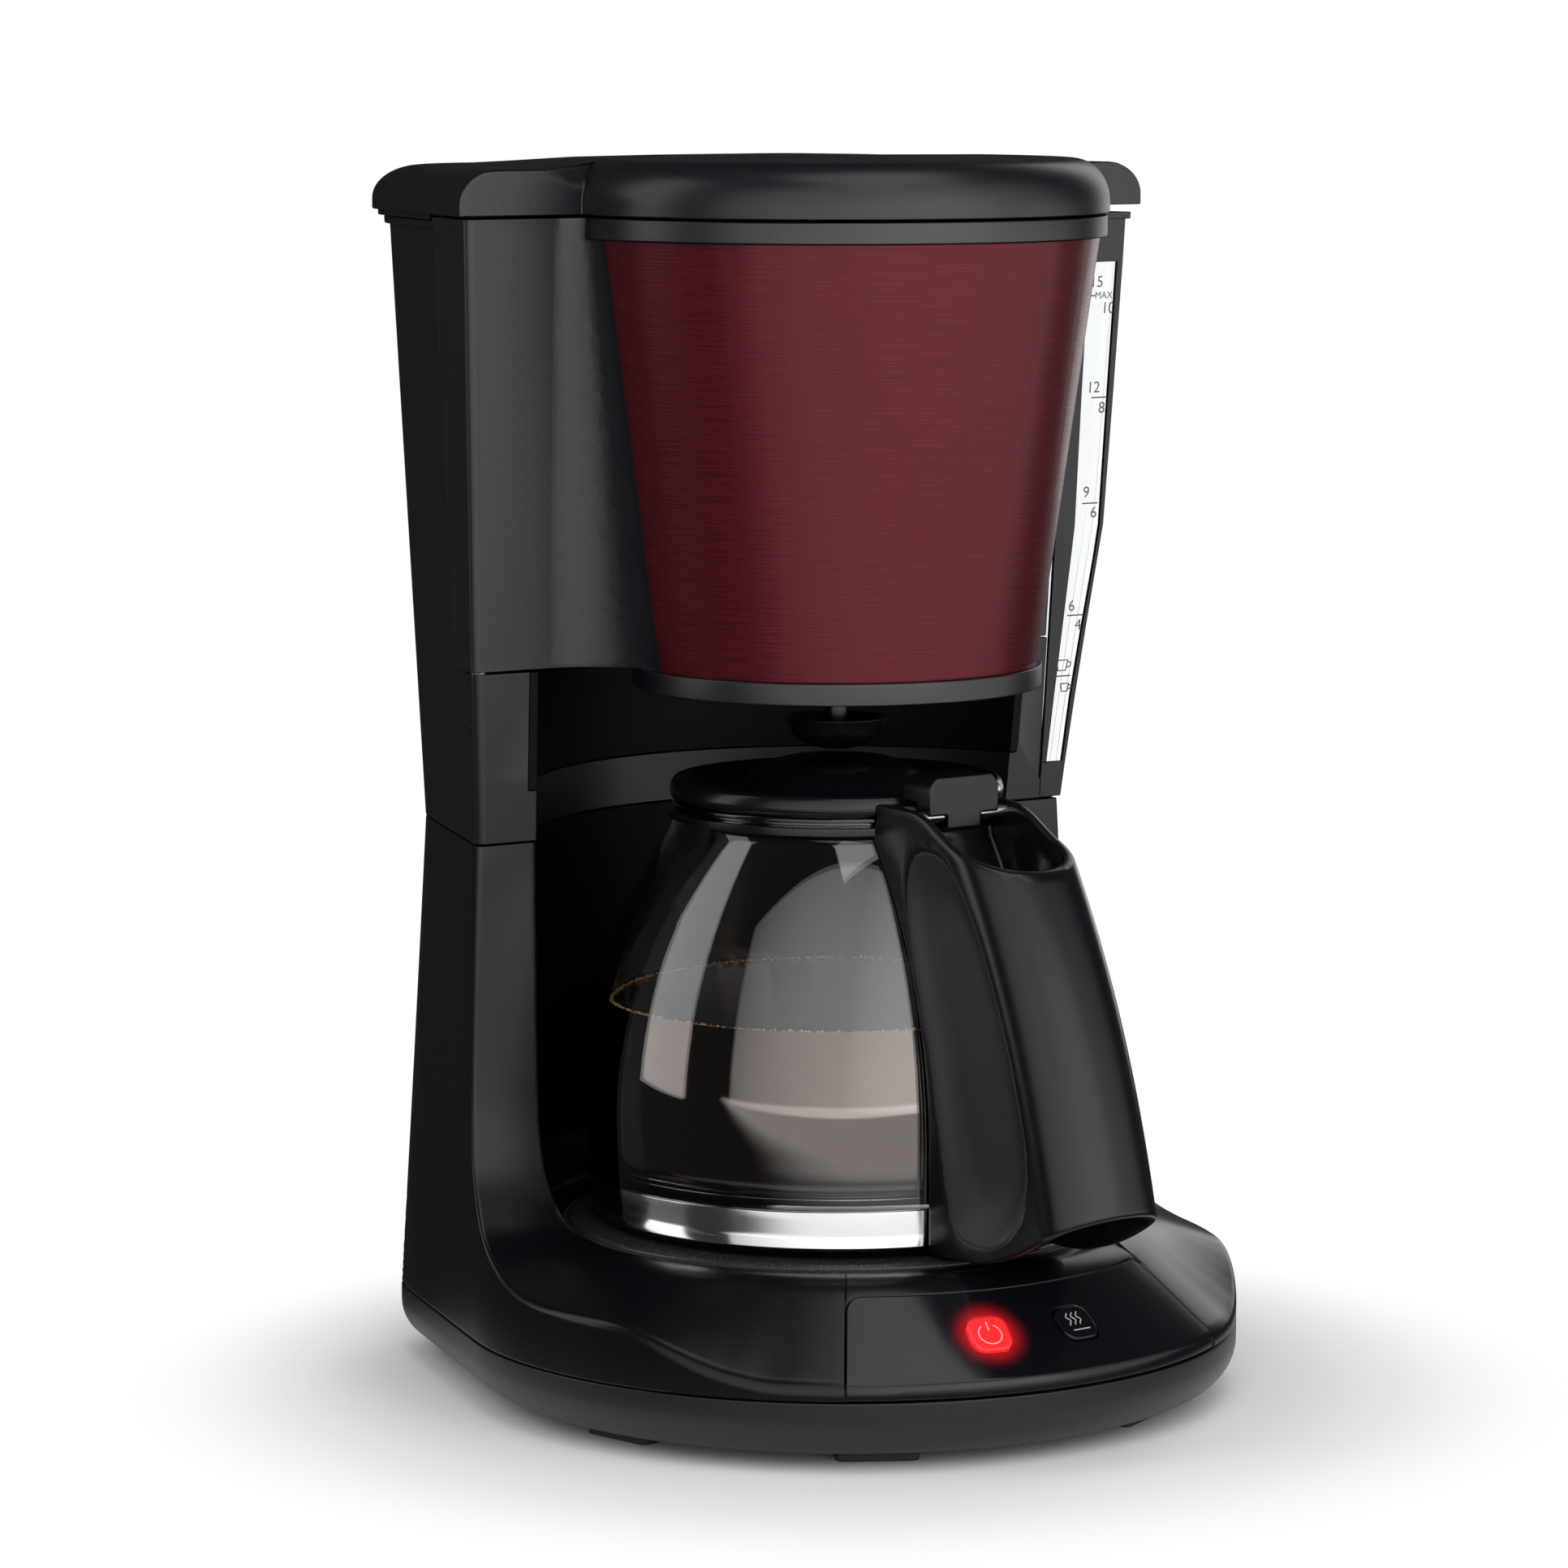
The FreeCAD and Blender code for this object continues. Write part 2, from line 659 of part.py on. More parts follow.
def make_heater():
    """Warming plate, tubular heater, boiler tube and the parts that hold and guard them."""
    top = size.plate_top
    radius = size.plate_radius
    turned("warming_plate", [
        (0, top - 1.6), (radius - 6, top - 1.6), (radius - 6, top - 4.2), (radius, top - 4.2),
        (radius, top - 0.9), (radius - 1.2, top), (radius - 8, top), (radius - 9, top - 0.4),
        (0, top - 0.4)])
    turned("plate_seal", [
        (radius + 0.05, top - 4.4), (radius + 1.45, top - 4.4), (radius + 1.45, top - 1.3),
        (radius + 0.05, top - 1.3)])
    under = float(top) - 1.7
    heater_radius, heater_tube = 44.0, 4.2
    boiler_tube, boiler_bore = 4.6, 3.4
    level = boiler_level()
    heater = open_ring(heater_radius, heater_tube, under - heater_tube - 0.1)
    boiler = open_ring(size.boiler_radius, boiler_tube, level)
    bore = open_ring(size.boiler_radius, boiler_bore, level)
    for end in boiler_ends():
        boiler = boiler.fuse(rod(boiler_tube, size.boiler_stub, level, end.x, end.y))
        boiler = boiler.fuse(Part.makeSphere(boiler_tube, end))
        bore = bore.fuse(rod(boiler_bore, float(size.boiler_stub) - 1.0, level, end.x, end.y))
        bore = bore.fuse(Part.makeSphere(boiler_bore, end))
    shaped("heater_tube", heater)
    shaped("boiler_tube", boiler.cut(bore))
    low = under - 2 * boiler_tube - 0.2
    screw_at = (0.0, -49.0)
    bracket = block((-8.0, 8.0), (-66.0, -36.0), (low - 2.0, low))
    shaped("element_bracket", bracket.cut(rod(2.1, low - 3, low + 1, *screw_at)))
    shaped("thermostat", rod(9.0, low - 9.0, low - 2.05, *screw_at).cut(rod(2.1, low - 10, low, *screw_at)))
    fuses = [Part.makeCylinder(2.2, 16.0, Vector(x, -8.0, under - 12.0), Vector(0, 1, 0))
             for x in (-30.0, 30.0)]
    shaped("thermal_fuses", Part.makeCompound(fuses))
    screw = rod(2.0, low - 12.0, low, *screw_at).fuse(rod(3.6, low - 12.0, low - 9.05, *screw_at))
    shaped("bracket_screw", screw)


def hose(points, bends, outer, inner):
    """A bent tube: straight runs joined by tangent arcs at the inner points."""
    edges = []
    last = points[0]
    for index in range(1, len(points) - 1):
        point = points[index]
        back = (points[index - 1] - point).normalize()
        ahead = (points[index + 1] - point).normalize()
        half = back.getAngle(ahead) / 2
        radius = bends[index - 1]
        reach = radius / math.tan(half)
        bisector = (back + ahead).normalize()
        crown = point + bisector * (radius / math.sin(half) - radius)
        edges.append(Part.LineSegment(last, point + back * reach).toShape())
        edges.append(Part.Arc(point + back * reach, crown, point + ahead * reach).toShape())
        last = point + ahead * reach
    edges.append(Part.LineSegment(last, points[-1]).toShape())
    path = Part.Wire(edges)
    along = edges[0].tangentAt(edges[0].FirstParameter)
    tubes = []
    for radius in (outer, inner):
        ring = Part.Wire([Part.Circle(points[0], along, radius).toShape()])
        tubes.append(path.makePipeShell([ring], True, True))
    return tubes[0].cut(tubes[1])


def make_waterway():
    """Check valve with its ball, the cold hose and the hot riser."""
    inlet, outlet = boiler_ends()
    start, run = float(size.boiler_stub) - 0.1, float(size.hose_level)
    valve_x, valve_y = float(size.valve_x), float(size.valve_y)
    valve = pipe_ring(7.0, 4.6, 176.0, 198.0, valve_x, valve_y)
    valve = valve.fuse(pipe_ring(4.7, 2.2, 172.0, 180.0, valve_x, valve_y))
    valve = valve.fuse(pipe_ring(4.7, 2.6, 194.0, 198.0, valve_x, valve_y))
    shaped("check_valve", valve.removeSplitter())
    ball = Part.makeSphere(3.4, Vector(valve_x, valve_y, 183.6))
    shaped("check_ball", ball)
    cold = hose([Vector(inlet.x, inlet.y, start), Vector(inlet.x, inlet.y, run),
                 Vector(valve_x, valve_y, run), Vector(valve_x, valve_y, 171.9)], [10.0, 12.0], 6.0, 3.6)
    shaped("cold_hose", cold)
    riser_x, riser_y = float(size.riser_x), float(size.riser_y)
    riser = float(size.riser_radius)
    route = [Vector(outlet.x, outlet.y, start), Vector(outlet.x, outlet.y, run)]
    route += [Vector(riser_x, valve_y, run), Vector(riser_x, valve_y, 120.0)]
    route += [Vector(0.0, riser_y, 170.0), Vector(0.0, riser_y, 327.5)]
    hot = hose(route, [10.0, 10.0, 14.0, 14.0], riser, riser - 1.6)
    shaped("hot_riser", hot)
    head_z = float(size.lid_bottom) + 1.2
    head_top = head_z + 7.5
    head = block((-9.0, 9.0), (-6.0, riser_y + 6.5), (head_z, head_top))
    head = head.fuse(rod(26.0, head_z, head_top))
    head = head.cut(rod(24.0, head_z + 1.6, head_top - 1.6))
    head = head.cut(block((-7.2, 7.2), (-6.0, riser_y + 5.1), (head_z + 1.6, head_top - 1.6)))
    head = head.cut(rod(riser + 0.1, head_z - 1, head_z + 1.7, 0, riser_y))
    for step in range(8):
        angle = math.radians(45.0 * step)
        head = head.cut(rod(1.8, head_z - 1, head_z + 2, 15.0 * math.cos(angle), 15.0 * math.sin(angle)))
    shaped("shower_head", head)


def make_rear_housing():
    """The shell round the water tank, the niche panel, the tank and the holder's pivot."""
    wall = float(size.wall)
    low, top = float(size.waist), float(size.tower_top)
    step, floor = float(size.niche_step), float(size.holder_floor)
    niche = float(size.niche_radius)
    panel = niche + float(size.niche_panel)
    recess = float(size.cone_top) + 2.0
    front = float(size.holder_back) + 1.0
    wide = 140.0
    outer = tower(low, top)
    outer = outer.cut(block((-wide, wide), (-wide, front), (floor, top + 1)))
    outer = outer.cut(rod(recess, floor, top + 1))
    outer = outer.cut(rod(niche, low - 1, step)).cut(rod(panel, step, floor))
    room = tower(floor + wall, top, wall)
    room = room.cut(block((-wide, wide), (-wide, front + wall), (floor, top + 1)))
    room = room.cut(rod(recess + wall, floor, top + 1))
    under = tower(low, floor, wall).cut(rod(panel + wall, low - 1, floor + 1))
    shell = outer.cut(room).cut(under)
    lip = tower(top - 2.2, top, -1.5).cut(tower(top - 3, top, 0.5))
    lip = lip.cut(block((-wide, wide), (-wide, front), (floor, top + 1)))
    shell = shell.fuse(lip)
    gauge_x = float(size.holder_right) + 0.4
    window = block((gauge_x, wide), (0.0, 62.0), (159.0, 311.5))
    shell = shell.cut(window)
    sweep = float(size.pivot_sweep) + 0.6
    pivot = (float(size.pivot_x), float(size.pivot_y))
    shell = shell.cut(rod(sweep, floor, top + 1, *pivot))
    boss = rod(6.0, floor - 16.0, floor, *pivot).common(tower(low, top))
    shell = shell.fuse(boss).cut(rod(size.pivot_radius, floor - 15.0, floor + 1, *pivot))
    shell = shell.cut(rod(size.riser_radius + 0.1, floor - 1, floor + wall + 1, 0, size.riser_y))
    shell = shell.cut(rod(7.0, floor - 2.0, floor + wall + 1, size.valve_x, size.valve_y))
    axis_y, axis_z = float(size.lid_axis_y), float(size.lid_axis_z)
    lug_radius = 3.2
    for x_low, x_high in ((50.0, 57.0), (-57.0, -50.0)):
        lug = block((x_low, x_high), (axis_y - 3.0, axis_y + lug_radius), (306.0, axis_z))
        lug = lug.fuse(cross_rod(lug_radius, x_low, x_high, axis_y, axis_z))
        shell = shell.fuse(lug.cut(cross_rod(size.lid_pin_radius, x_low, x_high, axis_y, axis_z)))
    shaped("rear_housing", shell.removeSplitter())
    arc = 150.0
    backing = Part.makeCylinder(panel - 0.05, floor - step - 0.3, Vector(0, 0, step + 0.15), UP, arc)
    backing.rotate(Vector(0, 0, 0), UP, 90.0 - arc / 2)
    shaped("niche_panel", backing.cut(rod(niche, step, floor)).common(tower(step, floor)))
    shaped("holder_pivot", rod(size.pivot_radius, floor - 15.0, 312.0, *pivot))


def make_tank():
    """Clear water tank: a vessel behind the holder, with a level column at the right front corner."""
    low, floor = 160.5, float(size.holder_floor + size.wall) + 0.3
    top = float(size.tower_top) + 1.5
    wide = 140.0
    recess = float(size.cone_top) + 2.0 + float(size.wall) + 0.3
    front = float(size.holder_back) + 1.0 + float(size.wall) + 0.3
    gauge_x = float(size.holder_right) + 0.9
    skin = 1.8
    notch = float(size.riser_radius) + 2.0

    def vessel(inset, clear, lift):
        """The tank's outer form, or its inside when clear is the skin."""
        main = tower(floor + lift, top, inset + clear)
        main = main.cut(block((-wide, wide), (-wide, front + clear), (0, 400)))
        main = main.cut(rod(recess + clear, 0, 400))
        main = main.cut(rod(notch + clear, 0, 400, 0, size.riser_y))
        main = main.cut(block((-notch - clear, notch + clear), (float(size.riser_y), wide), (0, 400)))
        column = tower(low + lift, 310.0 - lift, 0.6 + clear)
        corner = block((gauge_x + clear, wide), (0.0, 61.4 - clear), (low + lift, 310.0 - lift))
        return main.fuse(column.common(corner))

    tank = vessel(float(size.wall) + 0.4, 0.0, 0.0).cut(vessel(float(size.wall) + 0.4, skin, skin))
    outlet = (float(size.valve_x), float(size.valve_y))
    tank = tank.fuse(rod(4.4, floor - 4.0, floor + skin, *outlet))
    tank = tank.cut(rod(2.6, floor - 5.0, floor + 4.0, *outlet))
    shaped("water_tank", tank.removeSplitter())
    screen = rod(6.5, floor + skin, floor + skin + 6.0, *outlet)
    shaped("tank_screen", screen.cut(rod(5.3, floor, floor + skin + 4.8, *outlet)))


def holder_section(height, inset):
    """The filter holder's level outline: shoulder faces, hollow blends and the round chamber."""
    share = (height - float(size.holder_floor)) / float(size.rim_top - size.holder_floor)
    top_share = (height - float(size.waist)) / float(size.tower_top - size.waist)
    half = mix(float(size.half_waist), float(size.half_top), top_share) - inset
    face = mix(float(size.face_waist), float(size.face_top), top_share) + inset
    radius = mix(float(size.cone_low), float(size.cone_top), share) - float(size.panel_sheet) - inset
    blend = mix(float(size.blend_low), float(size.blend_top), share) + inset
    right = float(size.holder_right) - inset
    back = float(size.holder_back) - inset
    centre_y = face - blend
    centre_x = math.sqrt((radius + blend) ** 2 - centre_y ** 2)
    touch = radius / (radius + blend)
    rear_x = math.sqrt(radius ** 2 - back ** 2)
    middle = Vector(centre_x * touch - centre_x, centre_y * touch - face + blend, 0)
    bisector = (middle.normalize() + Vector(0, 1, 0)).normalize()
    dip = Vector(centre_x + bisector.x * blend, centre_y + bisector.y * blend, height)
    on_face = Vector(centre_x, face, height)
    on_cone = Vector(centre_x * touch, centre_y * touch, height)
    taper = 12.0 / 88.0

    corner = 2.5
    left_back = Vector(-half + taper * (back - face), back, height)
    edges = [
        Part.LineSegment(left_back, Vector(-half + taper * corner, face + corner, height)),
        Part.Arc(Vector(-half + taper * corner, face + corner, height),
                 Vector(-half + corner * 0.32, face + corner * 0.29, height),
                 Vector(-half + corner, face, height)),
        Part.LineSegment(Vector(-half + corner, face, height), mirror(on_face)),
        Part.Arc(mirror(on_face), mirror(dip), mirror(on_cone)),
        Part.Arc(mirror(on_cone), Vector(0, -radius, height), on_cone),
        Part.Arc(on_cone, dip, on_face),
        Part.LineSegment(on_face, Vector(right, face, height)),
        Part.LineSegment(Vector(right, face, height), Vector(right, back, height)),
        Part.LineSegment(Vector(right, back, height), Vector(rear_x, back, height)),
        Part.Arc(Vector(rear_x, back, height), Vector(0, radius, height), Vector(-rear_x, back, height)),
        Part.LineSegment(Vector(-rear_x, back, height), left_back),
    ]
    return Part.Wire([edge.toShape() for edge in edges])


def make_holder():
    """The swing-out filter holder, its red panel, the filter basket and the drip stop."""
    wall = float(size.wall)
    floor, top = float(size.holder_floor), float(size.rim_top)
    band, rim = float(size.band_bottom), float(size.rim_bottom)
    pivot = (float(size.pivot_x), float(size.pivot_y))
    sweep = float(size.pivot_sweep)
    outer = Part.makeLoft([holder_section(floor + 0.4, 0.0), holder_section(top, 0.0)], True, True)
    inner = Part.makeLoft([holder_section(floor + wall, wall), holder_section(top + 1.0, wall)], True, True)
    shell = outer.cut(inner)
    foot = float(size.cone_low) + 1.4
    shell = shell.fuse(rod(foot, band, floor + 0.4).cut(rod(foot - 3.5, band - 1, floor + 1 - wall)))
    brim = float(size.cone_top) + 1.2
    shell = shell.fuse(pipe_ring(brim, brim - 4.0, rim, top))
    shell = shell.fuse(rod(6.0, floor + 0.4, 316.0, *pivot).common(outer))
    shell = shell.cut(rod(float(size.pivot_radius) + 0.06, floor - 1, 330.0, *pivot))
    shell = shell.cut(rod(10.6, band - 1, floor + 5))
    beyond = block((-130.0, pivot[0] + sweep), (pivot[1], 80.0), (band, top + 5))
    shell = shell.cut(beyond.cut(rod(sweep, band, top + 5, *pivot)))
    shaped("filter_holder", shell.removeSplitter())

    sheet_low, sheet_top = floor + 0.45, rim - 0.2
    wrap = float(size.panel_wrap)
    share_low = (sheet_low - floor) / (top - floor)
    share_top = (sheet_top - floor) / (top - floor)
    radii = [mix(float(size.cone_low), float(size.cone_top), share) for share in (share_low, share_top)]
    thin = float(size.panel_sheet) - 0.05
    points = [Vector(0, -radii[0], sheet_low), Vector(0, -radii[1], sheet_top),
              Vector(0, -radii[1] + thin, sheet_top), Vector(0, -radii[0] + thin, sheet_low)]
    face = Part.Face(Part.makePolygon(points + points[:1]))
    face.rotate(Vector(0, 0, 0), UP, -wrap)
    shaped("red_panel", face.revolve(Vector(0, 0, 0), UP, 2 * wrap))

    basket_low = floor + wall + 0.4
    low_r, top_r = 46.0, 62.0
    turned("filter_basket", [
        (10.4, floor - 5.5), (7.4, floor - 5.5), (7.4, basket_low + 2.4), (low_r - 2, basket_low + 2.4),
        (top_r - 2, 312.0), (top_r - 2, 316.0), (top_r + 3, 316.0), (top_r + 3, 314.0), (top_r, 314.0),
        (top_r, 311.6), (low_r, basket_low), (10.4, basket_low)][::-1])
    cage_low = basket_low + 2.4
    cage = pipe_ring(13.0, 10.8, cage_low, 224.0)
    for quarter in range(2):
        slot = block((-20.0, 20.0), (-5.0, 5.0), (cage_low, 214.0))
        slot.rotate(Vector(0, 0, 0), UP, 90.0 * quarter)
        cage = cage.cut(slot)
    cage = cage.fuse(rod(13.0, 214.0, 224.0)).cut(rod(5.6, 213.0, 222.5))
    shaped("spring_cage", cage)
    bowl, brim_z, wide = size.bowl_bottom, size.bowl_rim, size.bowl_radius
    turned("drip_bowl", [(0, bowl), (4.5, bowl), (9.0, bowl + 1.2), (12.4, bowl + 4.0), (wide, brim_z),
                         (wide - 1.6, brim_z), (11.0, bowl + 4.8), (8.2, bowl + 2.8), (3.0, bowl + 2.2),
                         (3.0, basket_low + 5.6), (0, basket_low + 5.6)])
    turned("drip_seal", [
        (3.05, cage_low + 0.3), (9.4, cage_low + 0.3), (9.4, cage_low + 2.0), (5.0, cage_low + 3.0),
        (3.05, cage_low + 3.0)])
    turned("drip_spring", [(3.7, cage_low + 3.1), (5.0, cage_low + 3.1), (5.0, 218.0), (3.7, 218.0)])


def lid_section(height, shrink, inset):
    """The top lid's level outline: round front, flat shoulder facets, tapering sides."""
    radius = float(size.lid_radius) - shrink - inset
    half = float(size.lid_half) - shrink - inset
    face = float(size.lid_face) + inset
    back = float(size.lid_back) - shrink - inset
    blend = float(size.lid_blend) + inset
    corner = float(size.rear_radius) - inset
    centre_y = face - blend
    centre_x = math.sqrt((radius + blend) ** 2 - centre_y ** 2)
    touch = radius / (radius + blend)
    toward = Vector(centre_x * touch - centre_x, centre_y * touch - centre_y, 0).normalize()
    bisector = (toward + Vector(0, 1, 0)).normalize()
    dip = Vector(centre_x + bisector.x * blend, centre_y + bisector.y * blend, height)
    on_face = Vector(centre_x, face, height)
    on_cone = Vector(centre_x * touch, centre_y * touch, height)
    taper = 0.205
    rear = Vector(half - taper * (back - face), back, 0)
    along = Vector(-taper, 1, 0).normalize()
    bend_half = (math.pi - along.getAngle(Vector(-1, 0, 0))) / 2
    reach = corner / math.tan(bend_half)
    inward = (Vector(-1, 0, 0) - along).normalize()
    centre = rear + inward * (corner / math.sin(bend_half))
    lift = Vector(0, 0, height)
    start = rear - along * reach + lift
    crown = centre - inward * corner + lift
    finish = rear + Vector(-reach, 0, height)

    tip = Vector(half, face, height)
    edges = [
        Part.LineSegment(mirror(tip), mirror(on_face)),
        Part.Arc(mirror(on_face), mirror(dip), mirror(on_cone)),
        Part.Arc(mirror(on_cone), Vector(0, -radius, height), on_cone),
        Part.Arc(on_cone, dip, on_face),
        Part.LineSegment(on_face, tip),
        Part.LineSegment(tip, start),
        Part.Arc(start, crown, finish),
        Part.LineSegment(finish, mirror(finish)),
        Part.Arc(mirror(finish), mirror(crown), mirror(start)),
        Part.LineSegment(mirror(start), mirror(tip)),
    ]
    return Part.Wire([edge.toShape() for edge in edges])


def lid_form(inset, low):
    """The lid's solid form, whose edge rounds over from an upright skirt to the top."""
    bottom, skirt = float(size.lid_bottom), float(size.lid_skirt)
    rise = float(size.lid_rise) - skirt - inset
    shrink = float(size.lid_round)
    sections = [lid_section(bottom - low, 0.0, inset)]
    steps = 6
    for step in range(steps + 1):
        angle = math.radians(86.0 * step / steps)
        height = bottom + skirt + rise * math.sin(angle)
        sections.append(lid_section(height, shrink * (1 - math.cos(angle)), inset))
    return Part.makeLoft(sections, True, True)


def make_lid():
    """Top lid with its two knuckles, and the hinge pins."""
    axis_y, axis_z = size.lid_axis_y, size.lid_axis_z
    lid = lid_form(0.0, 0.0).cut(lid_form(2.2, 2.0))
    pins = []
    for x_low, x_high in ((38.0, 49.6), (-49.6, -38.0)):
        web = block((x_low, x_high), (float(size.lid_back) - 6.0, float(axis_y)),
                    (float(axis_z) - 2.6, float(axis_z) + 3.5))
        knuckle = web.fuse(cross_rod(4.2, x_low, x_high, axis_y, axis_z))
        lid = lid.fuse(knuckle)
    lid = lid.cut(cross_rod(float(size.lid_pin_radius) + 0.05, -60.0, 60.0, axis_y, axis_z))
    for x_low, x_high in ((38.0, 57.0), (-57.0, -38.0)):
        pins.append(cross_rod(size.lid_pin_radius, x_low, x_high, axis_y, axis_z))
    shaped("top_lid", lid.removeSplitter())
    shaped("lid_pins", Part.makeCompound(pins))


def make_jug():
    """Glass jug, its lid and lid pin."""
    low, wide, wall = size.jug_bottom, size.jug_radius, size.glass_wall
    belly, shoulder, neck, rim = size.jug_belly, size.jug_shoulder, size.jug_neck, size.jug_rim
    curve = size.jug_curve
    turned("jug_glass", [
        (0, low), (wide - 6, low), (wide - 1.6, low + 2.4), (wide, low + 9), (wide, belly, curve),
        (neck, shoulder), (neck - 0.4, rim - 2.6), (neck + 0.9, rim - 1.6), (neck + 0.9, rim - 0.5),
        (neck - 0.2, rim), (neck - wall, rim - 0.8), (neck - wall, shoulder, -curve + wall),
        (wide - wall, belly), (wide - wall, low + 9), (wide - 6.4, low + 3.6), (0, low + 3.0)])
    lid_low = rim + 0.25
    dome = size.lid_dome
    cover = [
        (0, lid_low + 2.0), (36.0, lid_low - 1.6), (38.5, lid_low - 5.0), (40.6, lid_low - 5.0),
        (41.2, lid_low), (45.4, lid_low), (45.9, lid_low + 2.6), (44.4, lid_low + 5.4),
        (42.6, lid_low + 5.4), (40.0, lid_low + 2.4), (27.0, lid_low + 2.2), (24.6, lid_low + 4.0),
        (20.0, dome - 1.8), (13.0, dome - 0.3), (8.0, dome), (7.2, dome - 0.8), (0, dome - 0.8)]
    turned("jug_cover", cover, float(size.handle_turn))


HANDLE = (
    # height, distance of the outer end from the jug axis
    (44.0, 133.0),
    (75.0, 126.5),
    (105.0, 116.7),
    (136.0, 103.7),
    (172.0, 82.0),
)

# Distance from the jug axis and height of what is cut away under and over the handle
HANDLE_UNDER = (
    (-40.0, 30.0), (-140.0, 30.0), (-140.0, 73.0), (-121.0, 62.8), (-109.0, 55.8), (-98.0, 51.5),
    (-87.0, 49.0), (-40.0, 48.6))
HANDLE_OVER = (
    (-30.0, 167.5), (-61.0, 167.0), (-76.0, 158.5), (-96.0, 152.0), (-140.0, 152.0), (-140.0, 200.0),
    (-30.0, 200.0))
GRIP_PAD = (
    (-84.0, 54.2), (-97.0, 56.8), (-107.5, 64.5), (-109.5, 76.0), (-106.0, 92.0), (-99.5, 110.0),
    (-91.5, 128.0), (-83.0, 143.5), (-74.5, 154.0), (-66.5, 156.0), (-59.5, 149.5), (-58.0, 138.0),
    (-62.5, 121.0), (-67.0, 103.0), (-70.5, 84.0), (-73.0, 66.0), (-76.5, 57.0))


def glass_radius(height):
    """Outer radius of the jug's glass at a height."""
    rise = max(height - float(size.jug_belly), 0.0)
    curve = float(size.jug_curve)
    return float(size.jug_radius) - curve + math.sqrt(curve ** 2 - min(rise, 83.0) ** 2)


def handle_section(height, reach, inset, inner):
    """The handle's level outline: two flanks and a round outer end, pointing to the front."""
    half = float(size.handle_half) - inset
    tip = -(reach - inset)
    turn_y = tip + half * 0.8
    end = []
    steps = 8
    for step in range(steps + 1):
        angle = math.pi * step / steps
        end.append(Vector(-half * math.cos(angle), turn_y - half * 0.8 * math.sin(angle), height))
    curve = Part.BSplineCurve()
    curve.interpolate(end)
    left, right = Vector(-half, -inner, height), Vector(half, -inner, height)
    edges = [Part.LineSegment(left, end[0]), curve, Part.LineSegment(end[-1], right)]
    edges.append(Part.LineSegment(right, left))
    return Part.Wire([edge.toShape() for edge in edges])


def handle_form(inset):
    """The handle's solid form before it is cut to the jug and to its sloping ends."""
    inner = 40.0
    sections = [handle_section(height, reach, inset, inner) for height, reach in HANDLE]
    return Part.makeLoft(sections, True, False)


def glass_space(gap):
    """The space taken by the jug's glass and its neck, widened by a gap."""
    points = [Vector(0, 0, 30), Vector(float(size.jug_radius) + gap, 0, 30)]
    for height in range(60, 159, 14):
        points.append(Vector(glass_radius(height) + gap, 0, height))
    neck = float(size.jug_neck) + gap
    points += [Vector(neck, 0, 160), Vector(neck, 0, 190), Vector(0, 0, 190)]
    face = Part.Face(Part.makePolygon(points + points[:1]))
    return face.revolve(Vector(0, 0, 0), UP, 360)


